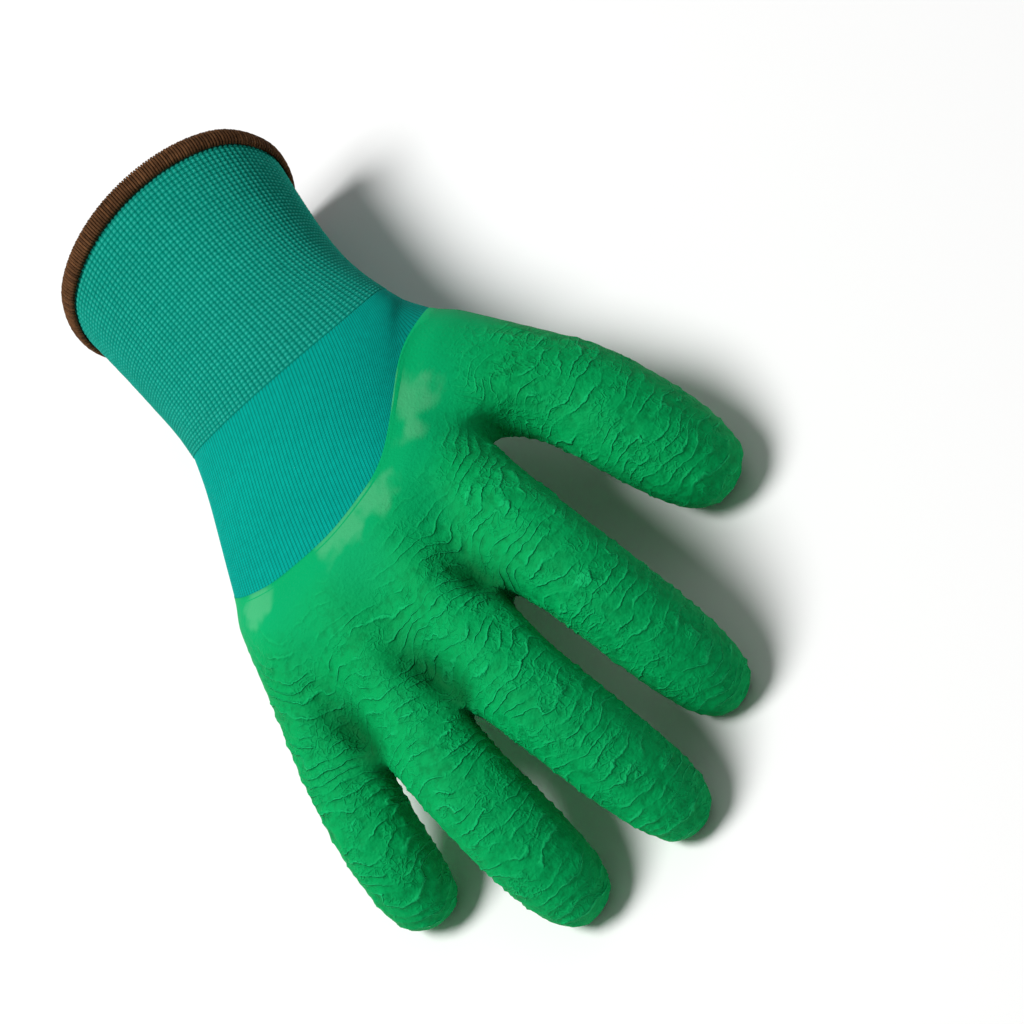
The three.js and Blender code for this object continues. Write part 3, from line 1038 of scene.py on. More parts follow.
@dataclass
class KnitTube:
    """A knitted tube with a wall of its own and ribs and courses modelled on its outside.

    Args:
        node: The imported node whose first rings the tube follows.
        name: Name of the piece.
        rings: How many of the node's rings it covers.
        ribs: Ribs round the tube.
        courses: Courses along it.
        rib_profile: Height of each column of a rib, as a share of the relief.
        course_profile: Height of each row of a course, as a share of the relief.
        relief: Depth of the pattern.
        wall: Thickness of the knit.
        sunk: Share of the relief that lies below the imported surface.
        reach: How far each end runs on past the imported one.
        inner_rows: Rows on the inside.
    """

    node: str
    name: str
    rings: int
    ribs: int
    courses: int
    rib_profile: tuple[float, ...]
    course_profile: tuple[float, ...]
    relief: float
    wall: float
    sunk: float = 0.4
    reach: tuple[float, float] = (0.0, 0.0)
    inner_rows: int = 8

    def surface(self) -> TubeSurface:
        """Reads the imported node's rings and carries them on a little at both ends.

        Returns:
            The smooth surface of the tube's outside.
        """
        skin = outer_skin(self.node, self.name + "_skin")
        rings = rings_from_cuff_end(skin, self.rings)
        bpy.data.objects.remove(skin)
        for end, beside, reach in ((0, 1, self.reach[0]), (-1, -2, self.reach[1])):
            step = rings[end] - rings[beside]
            rings[end] += step / np.linalg.norm(step, axis=1, keepdims=True) * reach
        return TubeSurface(rings)

    def build(self) -> bpy.types.Object:
        """Models the tube.

        Returns:
            A closed wall with a stitch-counting UV map and its relief as an attribute.
        """
        surface = self.surface()
        wide, tall = len(self.rib_profile), len(self.course_profile)
        columns, rows = self.ribs * wide, self.courses * tall
        around = surface.around(columns)
        outside = surface.at(np.linspace(0, self.rings - 1, rows + 1), around)
        inside = surface.at(np.linspace(self.rings - 1, 0, self.inner_rows + 1), around)
        pattern = self.pattern(rows, columns)
        outside = outside + surface.facing(outside) * (pattern[..., None] - self.sunk) * self.relief
        inside = inside - surface.facing(inside) * self.wall
        settled = np.maximum(np.concatenate([outside, inside]), FLOOR)
        # Heights of the stitches, which the colour follows with painted shade and painted highlight
        heights = np.concatenate([pattern, np.full((self.inner_rows + 1, columns), 0.5)])
        across = np.arange(columns + 1) / wide
        back = np.linspace(rows / tall, 0, self.inner_rows + 1)
        along = np.concatenate([np.arange(rows + 1) / tall, back, [0.0]])
        return rolled_sheet(self.name, settled, {"relief": heights}, across, along)

    def pattern(self, rows: int, columns: int) -> np.ndarray:
        """Heights of the ribs and courses, with a little unevenness from stitch to stitch.

        Args:
            rows: Rows on the outside, less one.
            columns: Columns round the tube.

        Returns:
            Shares of the relief by row and column.
        """
        wide, tall = len(self.rib_profile), len(self.course_profile)
        row, column = np.arange(rows + 1), np.arange(columns)
        ribs = np.array(self.rib_profile)[column % wide]
        courses = np.array(self.course_profile)[row % tall]
        by_rib, by_course, spread = SCATTER
        uneven = np.sin((column // wide)[None] * by_rib + (row // tall)[:, None] * by_course) * spread
        uneven = 0.9 + 0.2 * (uneven - np.floor(uneven))
        return np.clip(courses[:, None] * ribs[None] * uneven, 0, 1)


@dataclass
class KnitCuff:
    """The elastic wrist cuff, in a waffle rib."""

    tube: KnitTube = field(
        default_factory=lambda: KnitTube(
            node="knit_cuff",
            name="waffle_cuff",
            rings=7,
            ribs=129,
            courses=54,
            rib_profile=(0.0, 0.85, 1.0, 0.85),
            course_profile=(0.25, 1.0, 1.0),
            relief=0.45 * MM,
            wall=1.6 * MM,
            reach=(0.0, 0.12 * MM),
        )
    )
    finish: KnitFinish = KnitFinish(
        "cuff_knit",
        Stitch.WAFFLE,
        # Painted shade in the grooves and painted highlight on the crests
        groove_shade=colour(0, 104, 90),
        body=colour(8, 150, 130),
        crest=colour(52, 180, 160),
        stitch_depth=0.15 * MM,
    )

    def build(self, effects: Effects) -> None:
        """Models and dresses the cuff.

        Args:
            effects: The shared effects.
        """
        finish_piece(self.tube.build(), "knit_cuff", self.finish.material(effects))


@dataclass
class KnitLiner:
    """The seamless knitted liner: its bare part on the back of the hand, and the part under the coating."""

    tube: KnitTube = field(
        default_factory=lambda: KnitTube(
            node="knit_liner",
            name="jersey_liner",
            rings=5,
            ribs=200,
            courses=66,
            rib_profile=(0.0, 1.0, 1.0),
            course_profile=(1.0,),
            relief=0.11 * MM,
            wall=1.0 * MM,
            reach=(0.12 * MM, 1.5 * MM),
            inner_rows=6,
        )
    )
    finish: KnitFinish = KnitFinish(
        "liner_knit",
        Stitch.JERSEY,
        # Painted shade in the grooves and painted highlight on the crests
        groove_shade=colour(0, 118, 104),
        body=colour(0, 146, 130),
        crest=colour(0, 164, 148),
        stitch_depth=0.09 * MM,
        fibre_contrast=0.25,
    )
    covered_gap: float = 0.25 * MM

    def build(self, effects: Effects) -> None:
        """Models both parts, joins them and dresses them.

        Args:
            effects: The shared effects.
        """
        tube = self.tube.build()
        covered = self.covered_part()
        activate(tube)
        covered.select_set(True)
        bpy.ops.object.join()
        finish_piece(tube, "knit_liner", self.finish.material(effects))

    def covered_part(self) -> bpy.types.Object:
        """Models the wall that the coating covers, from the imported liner.

        Returns:
            A closed wall over the fingers, thumb and palm.
        """
        obj = outer_skin(self.tube.node, "covered_liner")
        rings = rings_from_cuff_end(obj, self.tube.rings - 1).reshape(-1, 3)
        move_points(obj, points_of(obj) - normals_of(obj) * self.covered_gap)
        edit_all(obj)
        mesh = bmesh.from_edit_mesh(obj.data)
        bare = [v for v in mesh.verts if np.linalg.norm(rings - v.co, axis=1).min() < 2 * self.covered_gap]
        bmesh.ops.delete(mesh, geom=bare, context="VERTS")
        bmesh.update_edit_mesh(obj.data)
        bpy.ops.object.mode_set(mode="OBJECT")
        soften = obj.modifiers.new("soften", "SUBSURF")
        soften.levels = soften.render_levels = 1
        thicken = obj.modifiers.new("thicken", "SOLIDIFY")
        thicken.thickness = self.tube.wall
        thicken.offset = -1
        for name in (soften.name, thicken.name):
            bpy.ops.object.modifier_apply(modifier=name)
        move_points(obj, np.maximum(sunk_valleys(points_of(obj))[0], FLOOR))
        mark_points(obj, "relief", np.full(len(obj.data.vertices), 0.5))
        obj.data.uv_layers.new(name="stitches")
        return obj


@dataclass
class CuffHem:
    """The overlocked edge: a band that wraps the mouth of the cuff, closed by loops of yarn.

    Args:
        band: Section of the band in millimetres, as how far beyond the cuff's edge and how high over it.
        yarn_path: The way of one loop of yarn over the band, in the same terms.
        columns: Steps of the band round the mouth.
        loops: Loops of yarn round the mouth.
        yarn: Radius of the yarn, in metres.
        sides: Sides of the yarn.
        slant: How far a loop leans round the mouth, in steps of yarn for each of its points.
        swell: Share by which loops differ in thickness, and the turn from one to the next.
        tone: Lowest tone of a loop, how far it rises and the turn from one to the next.
        finish: The finish of both.
    """

    band: tuple[tuple[float, float], ...] = (
        (-3.6, 0.3),
        (-3.9, 0.8),
        (-3.5, 1.3),
        (-2.2, 1.6),
        (-0.6, 1.6),
        (0.8, 1.2),
        (1.6, 0.3),
        (1.8, -0.7),
        (1.6, -1.8),
        (0.9, -2.6),
        (-0.6, -2.9),
        (-2.2, -2.8),
        (-3.5, -2.5),
        (-3.7, -2.1),
        (-3.5, -1.75),
        (-0.1, -1.75),
        (0.15, -1.6),
        (0.15, 0.2),
        (-0.1, 0.3),
    )
    yarn_path: tuple[tuple[float, float], ...] = (
        (-4.0, 0.5),
        (-3.5, 1.35),
        (-2.0, 1.7),
        (-0.3, 1.7),
        (1.2, 1.1),
        (1.85, 0.0),
        (1.8, -1.3),
        (1.0, -2.6),
        (-0.8, -3.0),
        (-2.8, -2.85),
    )
    columns: int = 480
    loops: int = 232
    yarn: float = 0.41 * MM
    sides: int = 5
    slant: float = 0.5
    swell: tuple[float, float] = (0.12, 2.399)
    tone: tuple[float, float, float] = (0.45, 0.3, 1.7)
    finish: YarnFinish = YarnFinish()

    def build(self, cuff: KnitTube, effects: Effects) -> None:
        """Models and dresses the hem.

        Args:
            cuff: The tube whose mouth it wraps.
            effects: The shared effects.
        """
        surface = cuff.surface()
        band = self.swept_band(surface)
        yarn = self.yarn_loops(surface)
        activate(band)
        yarn.select_set(True)
        bpy.ops.object.join()
        move_points(band, rest_on_floor(points_of(band)))
        finish_piece(band, "cuff_hem", self.finish.material(effects))

    def frames(self, surface: TubeSurface, around: np.ndarray) -> tuple[np.ndarray, np.ndarray, np.ndarray]:
        """Places and directions round the mouth.

        Args:
            surface: The outside of the cuff.
            around: Places round it, in points.

        Returns:
            The places, the directions out of the mouth and those away from the arm.
        """
        near = surface.at(np.array([0.0, 0.25]), around)
        edge = near[0]
        out = near[0] - near[1]
        out /= np.linalg.norm(out, axis=1, keepdims=True)
        round_step = np.roll(edge, -1, axis=0) - np.roll(edge, 1, axis=0)
        over = np.cross(round_step, out)
        over /= np.linalg.norm(over, axis=1, keepdims=True)
        if ((edge - edge.mean(0)) * over).sum() < 0:
            over = -over
        return edge, out, over

    def swept_band(self, surface: TubeSurface) -> bpy.types.Object:
        """Sweeps the band's section round the mouth.

        Args:
            surface: The outside of the cuff.

        Returns:
            A closed band.
        """
        edge, out, over = self.frames(surface, surface.around(self.columns))
        beyond, high = (np.array(self.band) * MM).T[..., None, None]
        points = edge[None] + out[None] * beyond + over[None] * high
        strand = np.full(points.shape[:2], 0.1)
        across, along = np.arange(self.columns + 1.0), np.arange(len(self.band) + 1.0)
        return rolled_sheet("overlock_hem", points, {"strand": strand}, across, along)

    def yarn_loops(self, surface: TubeSurface) -> bpy.types.Object:
        """Lays loops of yarn side by side round the band.

        Args:
            surface: The outside of the cuff.

        Returns:
            One mesh with all the loops, each a closed strand.
        """
        path = np.array(self.yarn_path) * MM
        steps = len(path)
        edge, out, over = self.frames(surface, surface.around(self.loops * steps))
        strand, order = self.strand(steps)
        for _ in range(1, self.loops):
            copy = bpy.data.objects.new("yarn", strand.data.copy())
            bpy.context.scene.collection.objects.link(copy)
        loops = [o for o in bpy.context.scene.objects if o.name.startswith("yarn")]
        (share, turn), (lowest, rise, tone_turn) = self.swell, self.tone
        lean = (np.arange(steps) - steps / 2) * self.slant
        for number, loop in enumerate(loops):
            swell = 1 + share * math.sin(number * turn)
            tone = lowest + rise * abs(math.sin(number * tone_turn))
            picks = (number * steps + lean).round().astype(int) % len(edge)
            middle = edge[picks] + out[picks] * path[:, :1] + over[picks] * path[:, 1:]
            move_points(loop, self.tube_points(middle, edge[picks], self.yarn * swell, order))
            mark_points(loop, "strand", np.full(len(order), tone))
        activate(loops[0])
        for loop in loops:
            loop.select_set(True)
        bpy.ops.object.join()
        return loops[0]

    def strand(self, steps: int) -> tuple[bpy.types.Object, np.ndarray]:
        """Models one straight strand with closed ends.

        Args:
            steps: Points along it.

        Returns:
            A capped tube, and the numbers of its points ring by ring.
        """
        select_nothing()
        bpy.ops.mesh.primitive_grid_add(
            x_subdivisions=self.sides, y_subdivisions=steps - 1, size=1.0, calc_uvs=False
        )
        obj = bpy.context.active_object
        obj.name = "yarn"
        flat = points_of(obj) + 0.5
        turn = 2 * math.pi * (np.rint(flat[:, 0] * self.sides) % self.sides) / self.sides
        ring = np.rint(flat[:, 1] * (steps - 1))
        move_points(obj, np.stack([np.cos(turn), np.sin(turn), ring], -1) * self.yarn)
        edit_all(obj)
        bpy.ops.mesh.remove_doubles(threshold=MERGE_DISTANCE)
        bpy.ops.mesh.select_all(action="DESELECT")
        bpy.ops.mesh.select_non_manifold(extend=False)
        bpy.ops.mesh.edge_face_add()
        bpy.ops.object.mode_set(mode="OBJECT")
        turn_outwards(obj)
        places = points_of(obj)
        ring = np.round(places[:, 2] / self.yarn).astype(int)
        turn = np.arctan2(places[:, 1], places[:, 0])
        return obj, np.lexsort((turn, ring))

    def tube_points(
        self, middle: np.ndarray, inside: np.ndarray, radius: float, order: np.ndarray
    ) -> np.ndarray:
        """Points of a strand bent along a line.

        Args:
            middle: The line that the strand follows.
            inside: Places that the strand goes round.
            radius: Radius of the strand.
            order: The numbers of the straight strand's points, ring by ring.

        Returns:
            The points in the order of the straight strand's.
        """
        ahead = np.gradient(middle, axis=0)
        ahead /= np.linalg.norm(ahead, axis=1, keepdims=True)
        away = middle - inside
        away -= ahead * (away * ahead).sum(1, keepdims=True)
        away /= np.linalg.norm(away, axis=1, keepdims=True)
        side = np.cross(ahead, away)
        angles = -math.pi + 2 * math.pi * np.arange(self.sides) / self.sides
        rings = middle[:, None] + radius * (
            away[:, None] * np.cos(angles)[None, :, None] + side[:, None] * np.sin(angles)[None, :, None]
        )
        points = np.empty((len(order), 3))
        points[order] = rings.reshape(-1, 3)
        return points


@dataclass(frozen=True)
class DigitLine:
    """The line through the middle of a finger or the thumb, from the wrist on, in millimetres."""

    name: str
    half_width: float
    points: tuple[tuple[float, float, float], ...]


WRIST_MIDDLE = (15.7, -47.6, 33.6)
DIGITS = (
    DigitLine(
        "index",
        12.0,
        (WRIST_MIDDLE, (2, 0, 40), (-16.8, 45.4, 42.1), (-21.1, 59.1, 38.6), (-24.1, 68.7, 36.1))
        + ((-26.8, 77.1, 28.3), (-29.8, 86.6, 19.6), (-31.5, 92.1, 8.4), (-33.0, 97.0, -1.4)),
    ),
    DigitLine(
        "middle",
        12.0,
        (WRIST_MIDDLE, (13, 8, 40), (7.6, 66.2, 40.7), (3.4, 79.6, 36.9), (0.4, 89.0, 34.2))
        + ((-2.4, 97.7, 26.9), (-5.4, 107.5, 18.7), (-7.5, 114.0, 8.3), (-9.3, 119.8, -0.8)),
    ),
    DigitLine(
        "ring",
        12.0,
        (WRIST_MIDDLE, (24, 10, 38), (31.6, 71.6, 36.1), (29.6, 83.9, 32.6), (28.3, 92.5, 30.2))
        + ((27.0, 100.7, 24.0), (25.5, 109.9, 17.0), (24.5, 116.3, 8.2), (23.6, 122.0, 0.3)),
    ),
    DigitLine(
        "little",
        11.0,
        (WRIST_MIDDLE, (35, 2, 34), (54.3, 58.5, 29.6), (55.6, 67.8, 27.0), (56.5, 74.3, 25.2))
        + ((57.3, 80.1, 20.1), (58.2, 86.6, 14.4), (58.8, 90.5, 7.2), (59.3, 94.0, 0.8)),
    ),
    DigitLine(
        "thumb",
        14.5,
        (WRIST_MIDDLE, (-12, -32, 33), (-32.3, -13.9, 30.0), (-38.6, -0.3, 29.0), (-43.0, 9.2, 28.3))
        + ((-47.7, 19.2, 23.5), (-52.9, 30.4, 18.1), (-57.1, 39.5, 10.2), (-60.8, 47.5, 3.2)),
    ),
)


@dataclass(frozen=True)
class Valley:
    """The fold on the back of the hand between two fingers, from the knuckles to the web.

    Args:
        points: The line of its bottom, in millimetres.
        depth: Its depth, in millimetres.
        width: How far it reaches to each side, in millimetres.
        deep_from: Share of its length from which it is at its deepest.
        rises_from: Share of its length from which it rises again.
        rise: Share of its depth by which it has risen at its end.
        shade_from: Share of its length from which its painted shade is darkest.
        shade_width: Reach of its painted shade as a share of its width.
    """

    points: tuple[tuple[float, float, float], ...]
    depth: float
    width: float
    deep_from: float = 0.7
    rises_from: float = 0.75
    rise: float = 0.75
    shade_from: float = 0.6
    shade_width: float = 1.3


VALLEYS = (
    Valley(((1.6, 40.0, 51.5), (-1.8, 50.1, 47.7), (-5.0, 58.6, 43.8)), 3.6, 3.4),
    Valley(((28.0, 49.0, 50.0), (23.3, 57.6, 46.4), (19.6, 65.2, 43.5), (16.3, 75.3, 41.0)), 3.4, 3.6),
    Valley(((51.0, 46.0, 43.5), (47.3, 53.0, 40.8), (44.9, 59.6, 38.7), (43.9, 67.6, 35.0)), 3.4, 3.6),
)

# Pale patches beside the edge of the dip: middle and reach, in millimetres
BLOTCHES = (
    ((-13.0, -1.0, 53.0), 9.0),
    ((-9.0, 10.5, 54.3), 5.0),
    ((7.5, 20.5, 57.6), 8.5),
    ((18.0, 22.5, 57.5), 9.0),
    ((49.0, 19.5, 50.0), 7.0),
)


def line_measures(points: np.ndarray, line: np.ndarray) -> tuple[np.ndarray, np.ndarray, np.ndarray]:
    """Measures places against a line with corners.

    Args:
        points: Places, in metres.
        line: Corners of the line, in metres.

    Returns:
        Distance from the line, distance along it, and distance to its side seen from above.
    """
    best = np.full(len(points), np.inf)
    reach, side = np.zeros(len(points)), np.zeros(len(points))
    run = 0.0
    for start, end in zip(line[:-1], line[1:]):
        span = end - start
        length = np.linalg.norm(span)
        share = np.clip((points - start) @ span / length**2, 0, 1)
        away = points - start - share[:, None] * span
        gap = np.linalg.norm(away, axis=1)
        across = np.cross(span / length, [0, 0, 1])
        closer = gap < best
        best = np.where(closer, gap, best)
        reach = np.where(closer, run + share * length, reach)
        side = np.where(closer, away @ across, side)
        run += length
    return best, reach, side


def sunk_valleys(points: np.ndarray) -> tuple[np.ndarray, np.ndarray]:
    """Deepens the folds between the fingers on the back of the hand, and lays painted shade along them.

    Args:
        points: Places, in metres.

    Returns:
        The lowered places, and how dark the painted shade in a fold is at each, from 0 to 1.
    """
    sunk, valley_shade = points.copy(), np.zeros(len(points))
    for valley in VALLEYS:
        line = np.array(valley.points) * MM
        flat = line * (1, 1, 0)
        steps = np.concatenate([[0], np.cumsum(np.linalg.norm(np.diff(flat, axis=0), axis=1))])
        length, width = steps[-1], valley.width * MM
        gap, reach, _ = line_measures(points * (1, 1, 0), flat)
        above = smoothstep(-15 * MM, -8 * MM, points[:, 2] - np.interp(reach, steps, line[:, 2]))
        risen = valley.rise * smoothstep(valley.rises_from * length, length, reach)
        share = smoothstep(0, valley.deep_from * length, reach) * (1 - risen)
        share *= np.exp(-((gap / width) ** 2)) * above
        sunk[:, 2] -= share * valley.depth * MM
        # Painted shade along the fold, darkest from shade_from on
        beside = np.exp(-((gap / (valley.shade_width * width)) ** 2)) * above
        valley_shade = np.maximum(valley_shade, beside * smoothstep(0, valley.shade_from * length, reach))
    return sunk, valley_shade


@dataclass(frozen=True)
class Lumps:
    """Smooth lumps through space.

    Args:
        size: Size of one lump, in metres.
        seed: Where in the noise they come from.
        amount: How far they rise and fall.
    """

    size: float
    seed: float
    amount: float = 1.0

    def at(self, points: np.ndarray) -> np.ndarray:
        """Reads how far they rise at each place."""
        return self.amount * grain(points, self.size, self.seed)


@dataclass
class LatexCoating:
    """The dipped latex over the fingers, the thumb, the palm and the lower back of the hand.

    Args:
        levels: How often its outside is subdivided.
        inner_levels: The same for its inside.
        wall: Its thickness, in metres.
        edge_wall: How much deeper its inside lies at its very edge.
        edge_reach: How far from the edge that ends.
        taper: Distance from its edge within which it thins.
        edge_sink: How much deeper than the wall its outside sinks at its edge.
        smooth_until: Distance from its edge up to which it is smooth.
        crinkled_from: Distance from which it is crinkled all over.
        patches: Unevenness of those two distances.
        ridge_spacing: Distance from ridge to ridge along a digit.
        ridge_height: Height of a ridge.
        arc: How much further along the ridges lie at the side of a digit.
        sway: Unevenness of the ridges' places, as shares of their spacing.
        breaks: Where the ridges are weak and where they are strong.
        cross_lines: Noise whose zeros are the wrinkles across the ridges.
        swells: Soft swellings under the ridges, as shares of their height.
        digit_blend: Distance over which one digit's ridges run into the next one's.
        ragged: Unevenness of the pale patches' outlines.
        finish: Its finish.
    """

    levels: int = 3
    inner_levels: int = 2
    wall: float = 1.1 * MM
    edge_wall: float = 0.22 * MM
    edge_reach: float = 1.5 * MM
    taper: float = 9 * MM
    edge_sink: float = 0.1 * MM
    smooth_until: float = 6 * MM
    crinkled_from: float = 30 * MM
    patches: Lumps = Lumps(16 * MM, 3.1, 7 * MM)
    ridge_spacing: float = 3.3 * MM
    ridge_height: float = 0.75 * MM
    arc: float = 8.0 * MM
    sway: tuple[Lumps, Lumps] = (Lumps(12 * MM, 7.7, 1.1), Lumps(5 * MM, 1.3, 0.45))
    breaks: Lumps = Lumps(5 * MM, 5.9)
    cross_lines: Lumps = Lumps(3.1 * MM, 9.2)
    swells: Lumps = Lumps(8 * MM, 2.4, 0.14)
    digit_blend: float = 3.5 * MM
    ragged: tuple[Lumps, Lumps] = (Lumps(5 * MM, 4.4, 0.55), Lumps(2.2 * MM, 8.4, 0.3))
    finish: LatexFinish = LatexFinish()

    def build(self, effects: Effects) -> None:
        """Models and dresses the coating.

        Args:
            effects: The shared effects.
        """
        outside = self.smoothed_skin("crinkle_coating", self.levels)
        inside = self.smoothed_skin("coating_inside", self.inner_levels)
        self.crinkle(outside)
        self.lay_inside(inside)
        activate(outside)
        inside.select_set(True)
        bpy.ops.object.join()
        bpy.ops.object.mode_set(mode="EDIT")
        bpy.ops.mesh.select_mode(type="EDGE")
        bpy.ops.mesh.select_all(action="DESELECT")
        bpy.ops.mesh.select_non_manifold(extend=False)
        bpy.ops.mesh.bridge_edge_loops()
        bpy.ops.object.mode_set(mode="OBJECT")
        finish_piece(outside, "latex_coating", self.finish.material(effects))

    def smoothed_skin(self, name: str, levels: int) -> bpy.types.Object:
        """Copies the coating's outside and rounds it.

        Args:
            name: Name of the new object.
            levels: How often it is subdivided.

        Returns:
            An open mesh.
        """
        obj = outer_skin("latex_coating", name)
        activate(obj)
        soften = obj.modifiers.new("soften", "SUBSURF")
        soften.levels = soften.render_levels = levels
        bpy.ops.object.modifier_apply(modifier=soften.name)
        return obj

    def edge_distance(self, obj: bpy.types.Object) -> np.ndarray:
        """Distance of each point from the edge of the dip.

        Args:
            obj: An open mesh of the coating.

        Returns:
            Distances, in metres.
        """
        mesh = bmesh.new()
        mesh.from_mesh(obj.data)
        rim = np.array([v.co[:] for v in mesh.verts if v.is_boundary])
        mesh.free()
        points = points_of(obj)
        nearest = np.full(len(points), np.inf)
        for start in range(0, len(rim), RIM_BATCH):
            gaps = points[:, None] - rim[None, start : start + RIM_BATCH]
            nearest = np.minimum(nearest, np.sqrt((gaps**2).sum(2)).min(1))
        return nearest

    def along_digits(self, points: np.ndarray) -> tuple[np.ndarray, np.ndarray]:
        """How far each point lies along the hand and its digits, and how far to the side of the nearest one.

        Args:
            points: Places, in metres.

        Returns:
            Distances along, in metres, and shares of the digit's half width.
        """
        gaps, reaches, sides = [], [], []
        for digit in DIGITS:
            gap, reach, side = line_measures(points, np.array(digit.points) * MM)
            gaps.append(gap)
            reaches.append(reach)
            sides.append(side / (digit.half_width * MM))
        gaps = np.array(gaps)
        weights = np.exp(-(gaps - gaps.min(0)) / self.digit_blend)
        weights /= weights.sum(0)
        return (weights * np.array(reaches)).sum(0), (weights * np.array(sides)).sum(0)

    def crinkle(self, obj: bpy.types.Object) -> None:
        """Raises the wrinkles of the coating and thins it towards its edge.

        Args:
            obj: The outside of the coating.
        """
        points, facing = points_of(obj), normals_of(obj)
        edge = self.edge_distance(obj)
        along, side = self.along_digits(points)
        mask = smoothstep(self.smooth_until, self.crinkled_from, edge + self.patches.at(points))
        count = (along + self.arc * np.clip(side, -1.3, 1.3) ** 2) / self.ridge_spacing
        count += self.sway[0].at(points) + self.sway[1].at(points)
        wave = 1 - np.abs(2 * (count - np.floor(count)) - 1)
        strength = smoothstep(-0.22, 0.25, self.breaks.at(points))
        cross = 1 - np.minimum(np.abs(self.cross_lines.at(points)) * 3.2, 1)
        height = wave**2.2 * (0.2 + 0.5 * strength) + 0.2 * cross**1.5 + self.swells.at(points) - 0.2
        coat = 1 - smoothstep(0, self.taper, edge)
        lift = mask * height * self.ridge_height - coat * (self.wall + self.edge_sink)
        sunk, valley_shade = sunk_valleys(points)
        move_points(obj, rest_on_floor(sunk + facing * lift[:, None]))
        mark_points(obj, "crinkle", mask)
        # Height of the wrinkles, which the colour follows with painted highlight on the raised places and
        # painted shade in the sunk ones
        mark_points(obj, "relief", np.clip(0.5 + mask * (height - 0.05) * 0.9, 0, 1))
        mark_points(obj, "ridge_count", count - 0.45)
        mark_points(obj, "ridge_strength", (0.12 + 0.88 * strength) * mask)
        # Painted shade in the valleys between the fingers
        mark_points(obj, "valley_shade", valley_shade)
        mark_points(obj, "thin", self.pale_patches(points))

    def pale_patches(self, points: np.ndarray) -> np.ndarray:
        """Finds where the dip is so thin that the knit's pale side shows through.

        Args:
            points: Places, in metres.

        Returns:
            How pale each place is, from 0 to 1.
        """
        pale = np.zeros(len(points))
        ragged = self.ragged[0].at(points) + self.ragged[1].at(points)
        for middle, reach in BLOTCHES:
            gap = np.linalg.norm(points - np.array(middle) * MM, axis=1) / (reach * MM)
            pale = np.maximum(pale, 1 - smoothstep(0.35, 1.0, gap + ragged))
        return pale

    def lay_inside(self, obj: bpy.types.Object) -> None:
        """Sets the inside of the wall below the outside and turns it round.

        Args:
            obj: A copy of the coating's outside.
        """
        edge = self.edge_distance(obj)
        depth = self.wall + (1 - smoothstep(0, self.edge_reach, edge)) * self.edge_wall
        sunk = sunk_valleys(points_of(obj))[0]
        move_points(obj, np.maximum(sunk - normals_of(obj) * depth[:, None], FLOOR))
        edit_all(obj)
        bpy.ops.mesh.flip_normals()
        bpy.ops.object.mode_set(mode="OBJECT")
        count = len(obj.data.vertices)
        for name in ("crinkle", "ridge_count", "ridge_strength", "valley_shade", "thin"):
            mark_points(obj, name, np.zeros(count))
        mark_points(obj, "relief", np.full(count, 0.5))


# Floor, light and camera


class Lamp(Enum):
    """The soft lights over the glove: direction, strength in watts and size in metres."""

    KEY = ((0.52, -0.08, 1.0), 64.0, 1.2)
    FILL = ((-0.4, -0.6, 0.8), 3.0, 1.6)


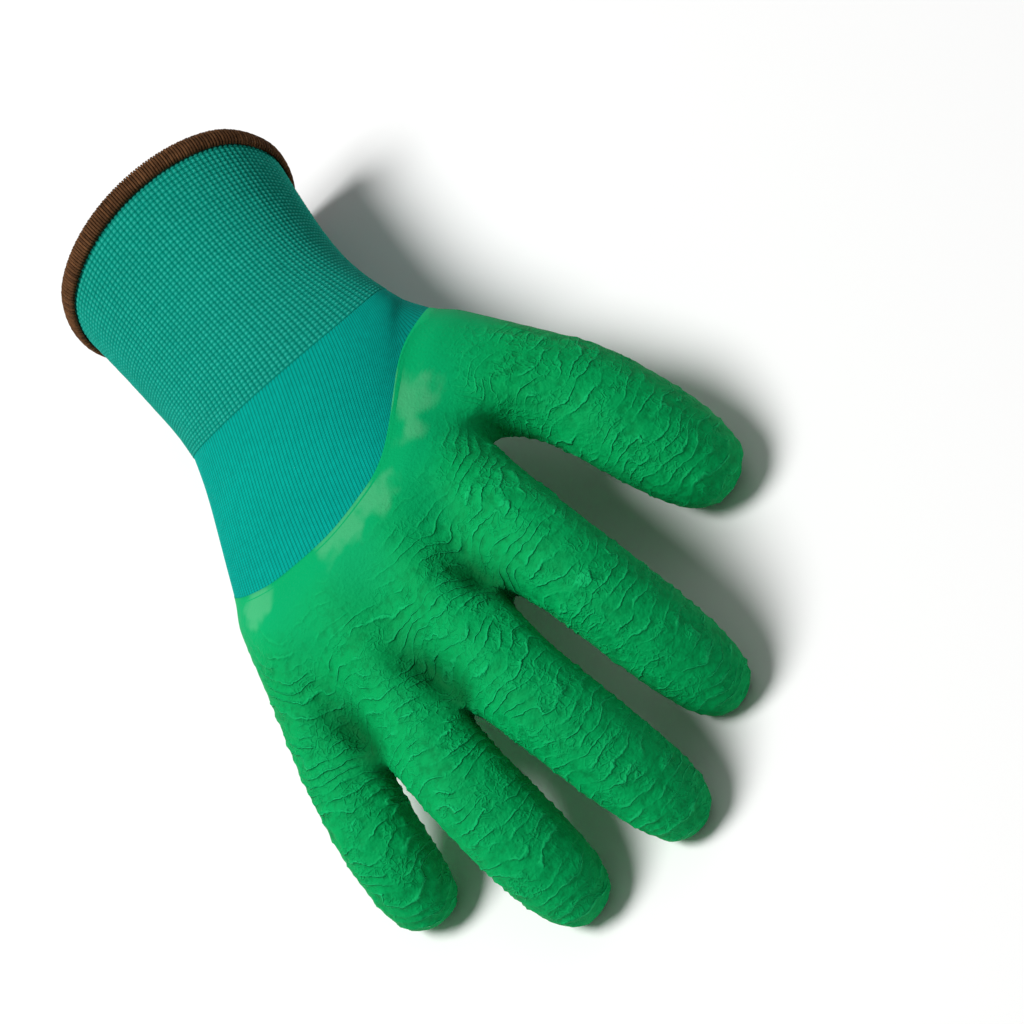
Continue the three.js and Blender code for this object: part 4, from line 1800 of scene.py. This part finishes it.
@dataclass
class Studio:
    """The photograph's view of the glove on a plain pale floor.

    Args:
        middle: The point that the view was fitted round, in millimetres.
        azimuth: Turn of the view round the vertical, in degrees.
        elevation: Height of the view over the floor, in degrees.
        roll: Turn of the picture, in degrees.
        distance: Distance from the point to the camera, in millimetres.
        pixel: Size of a pixel at the point, in millimetres.
        offset: How far the picture's middle lies from the point, in pixels.
        picture: Width of the picture, in pixels.
        sensor: Width of the camera's sensor, in millimetres.
        floor_size: Side of the floor, in metres.
        floor_tone: Its colour.
        sky: Strength of the even light of the room.
        lamp_distance: Distance of the lamps, in metres.
    """

    middle: tuple[float, float, float] = (18.45, -11.15, 35.0)
    azimuth: float = -16.6
    elevation: float = 46.7
    roll: float = -51.4
    distance: float = 1300.0
    pixel: float = 0.2516
    offset: tuple[float, float] = (175.9, 36.6)
    picture: int = 1024
    sensor: float = 36.0
    floor_size: float = 6.0
    floor_tone: Colour = (0.92, 0.92, 0.915, 1.0)
    sky: float = 0.17
    lamp_distance: float = 2.4

    def build(self) -> None:
        """Adds the floor, the lights, the surroundings and the camera."""
        self.add_floor()
        self.add_lights()
        self.add_camera()
        log.info("studio: floor, %d lights and camera", len(Lamp))

    def add_floor(self) -> None:
        """Adds the floor."""
        select_nothing()
        bpy.ops.mesh.primitive_plane_add(size=self.floor_size, location=(0, 0, 0))
        floor = bpy.context.active_object
        floor.name = "floor"
        material, _, shader = new_material("floor")
        shader.inputs["Base Color"].default_value = self.floor_tone
        shader.inputs["Roughness"].default_value = 0.9
        shader.inputs["Specular IOR Level"].default_value = 0.1
        floor.data.materials.append(material)

    def add_lights(self) -> None:
        """Adds the soft lights and the even light of the room."""
        for lamp in Lamp:
            direction, watts, size = lamp.value
            data = bpy.data.lights.new(lamp.name.lower(), "AREA")
            data.energy, data.size, data.shape = watts, size, "DISK"
            light = bpy.data.objects.new(lamp.name.lower(), data)
            light.location = Vector(direction).normalized() * self.lamp_distance
            light.rotation_euler = Vector(direction).to_track_quat("Z", "Y").to_euler()
            bpy.context.scene.collection.objects.link(light)
        world = bpy.data.worlds.new("room")
        world.use_nodes = True
        background = world.node_tree.nodes["Background"]
        background.inputs["Color"].default_value = (1, 1, 1, 1)
        background.inputs["Strength"].default_value = self.sky
        bpy.context.scene.world = world
        bpy.context.scene.view_settings.view_transform = "Standard"

    def add_camera(self) -> None:
        """Adds the camera at the photograph's angle."""
        turn, rise, roll = (math.radians(a) for a in (self.azimuth, self.elevation, self.roll))
        back = Vector((math.sin(turn) * math.cos(rise), math.cos(turn) * math.cos(rise), math.sin(rise)))
        right = Vector((-math.cos(turn), math.sin(turn), 0))
        up = back.cross(right)
        across = math.cos(roll) * right + math.sin(roll) * up
        above = -math.sin(roll) * right + math.cos(roll) * up
        eye = Vector(self.middle) + back * self.distance
        aim = -back * self.distance + (across * self.offset[0] - above * self.offset[1]) * self.pixel
        depth = -aim.normalized()
        side = above.cross(depth).normalized()
        turned = Matrix((side, depth.cross(side), depth)).transposed().to_4x4()
        data = bpy.data.cameras.new("camera")
        data.sensor_width = self.sensor
        data.lens = self.sensor * self.distance / (self.picture * self.pixel)
        data.clip_end = 20.0
        camera = bpy.data.objects.new("camera", data)
        camera.matrix_world = Matrix.Translation(eye * MM) @ turned
        bpy.context.scene.collection.objects.link(camera)
        bpy.context.scene.camera = camera


def main() -> None:
    """Builds the glove from its hem to its coating, then the studio round it."""
    logging.basicConfig(level=logging.INFO, format="%(name)s: %(message)s")
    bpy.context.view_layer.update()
    effects = Effects()
    cuff = KnitCuff()
    cuff.build(effects)
    CuffHem().build(cuff.tube, effects)
    KnitLiner().build(effects)
    LatexCoating().build(effects)
    Studio().build()


if __name__ == "__main__":
    main()
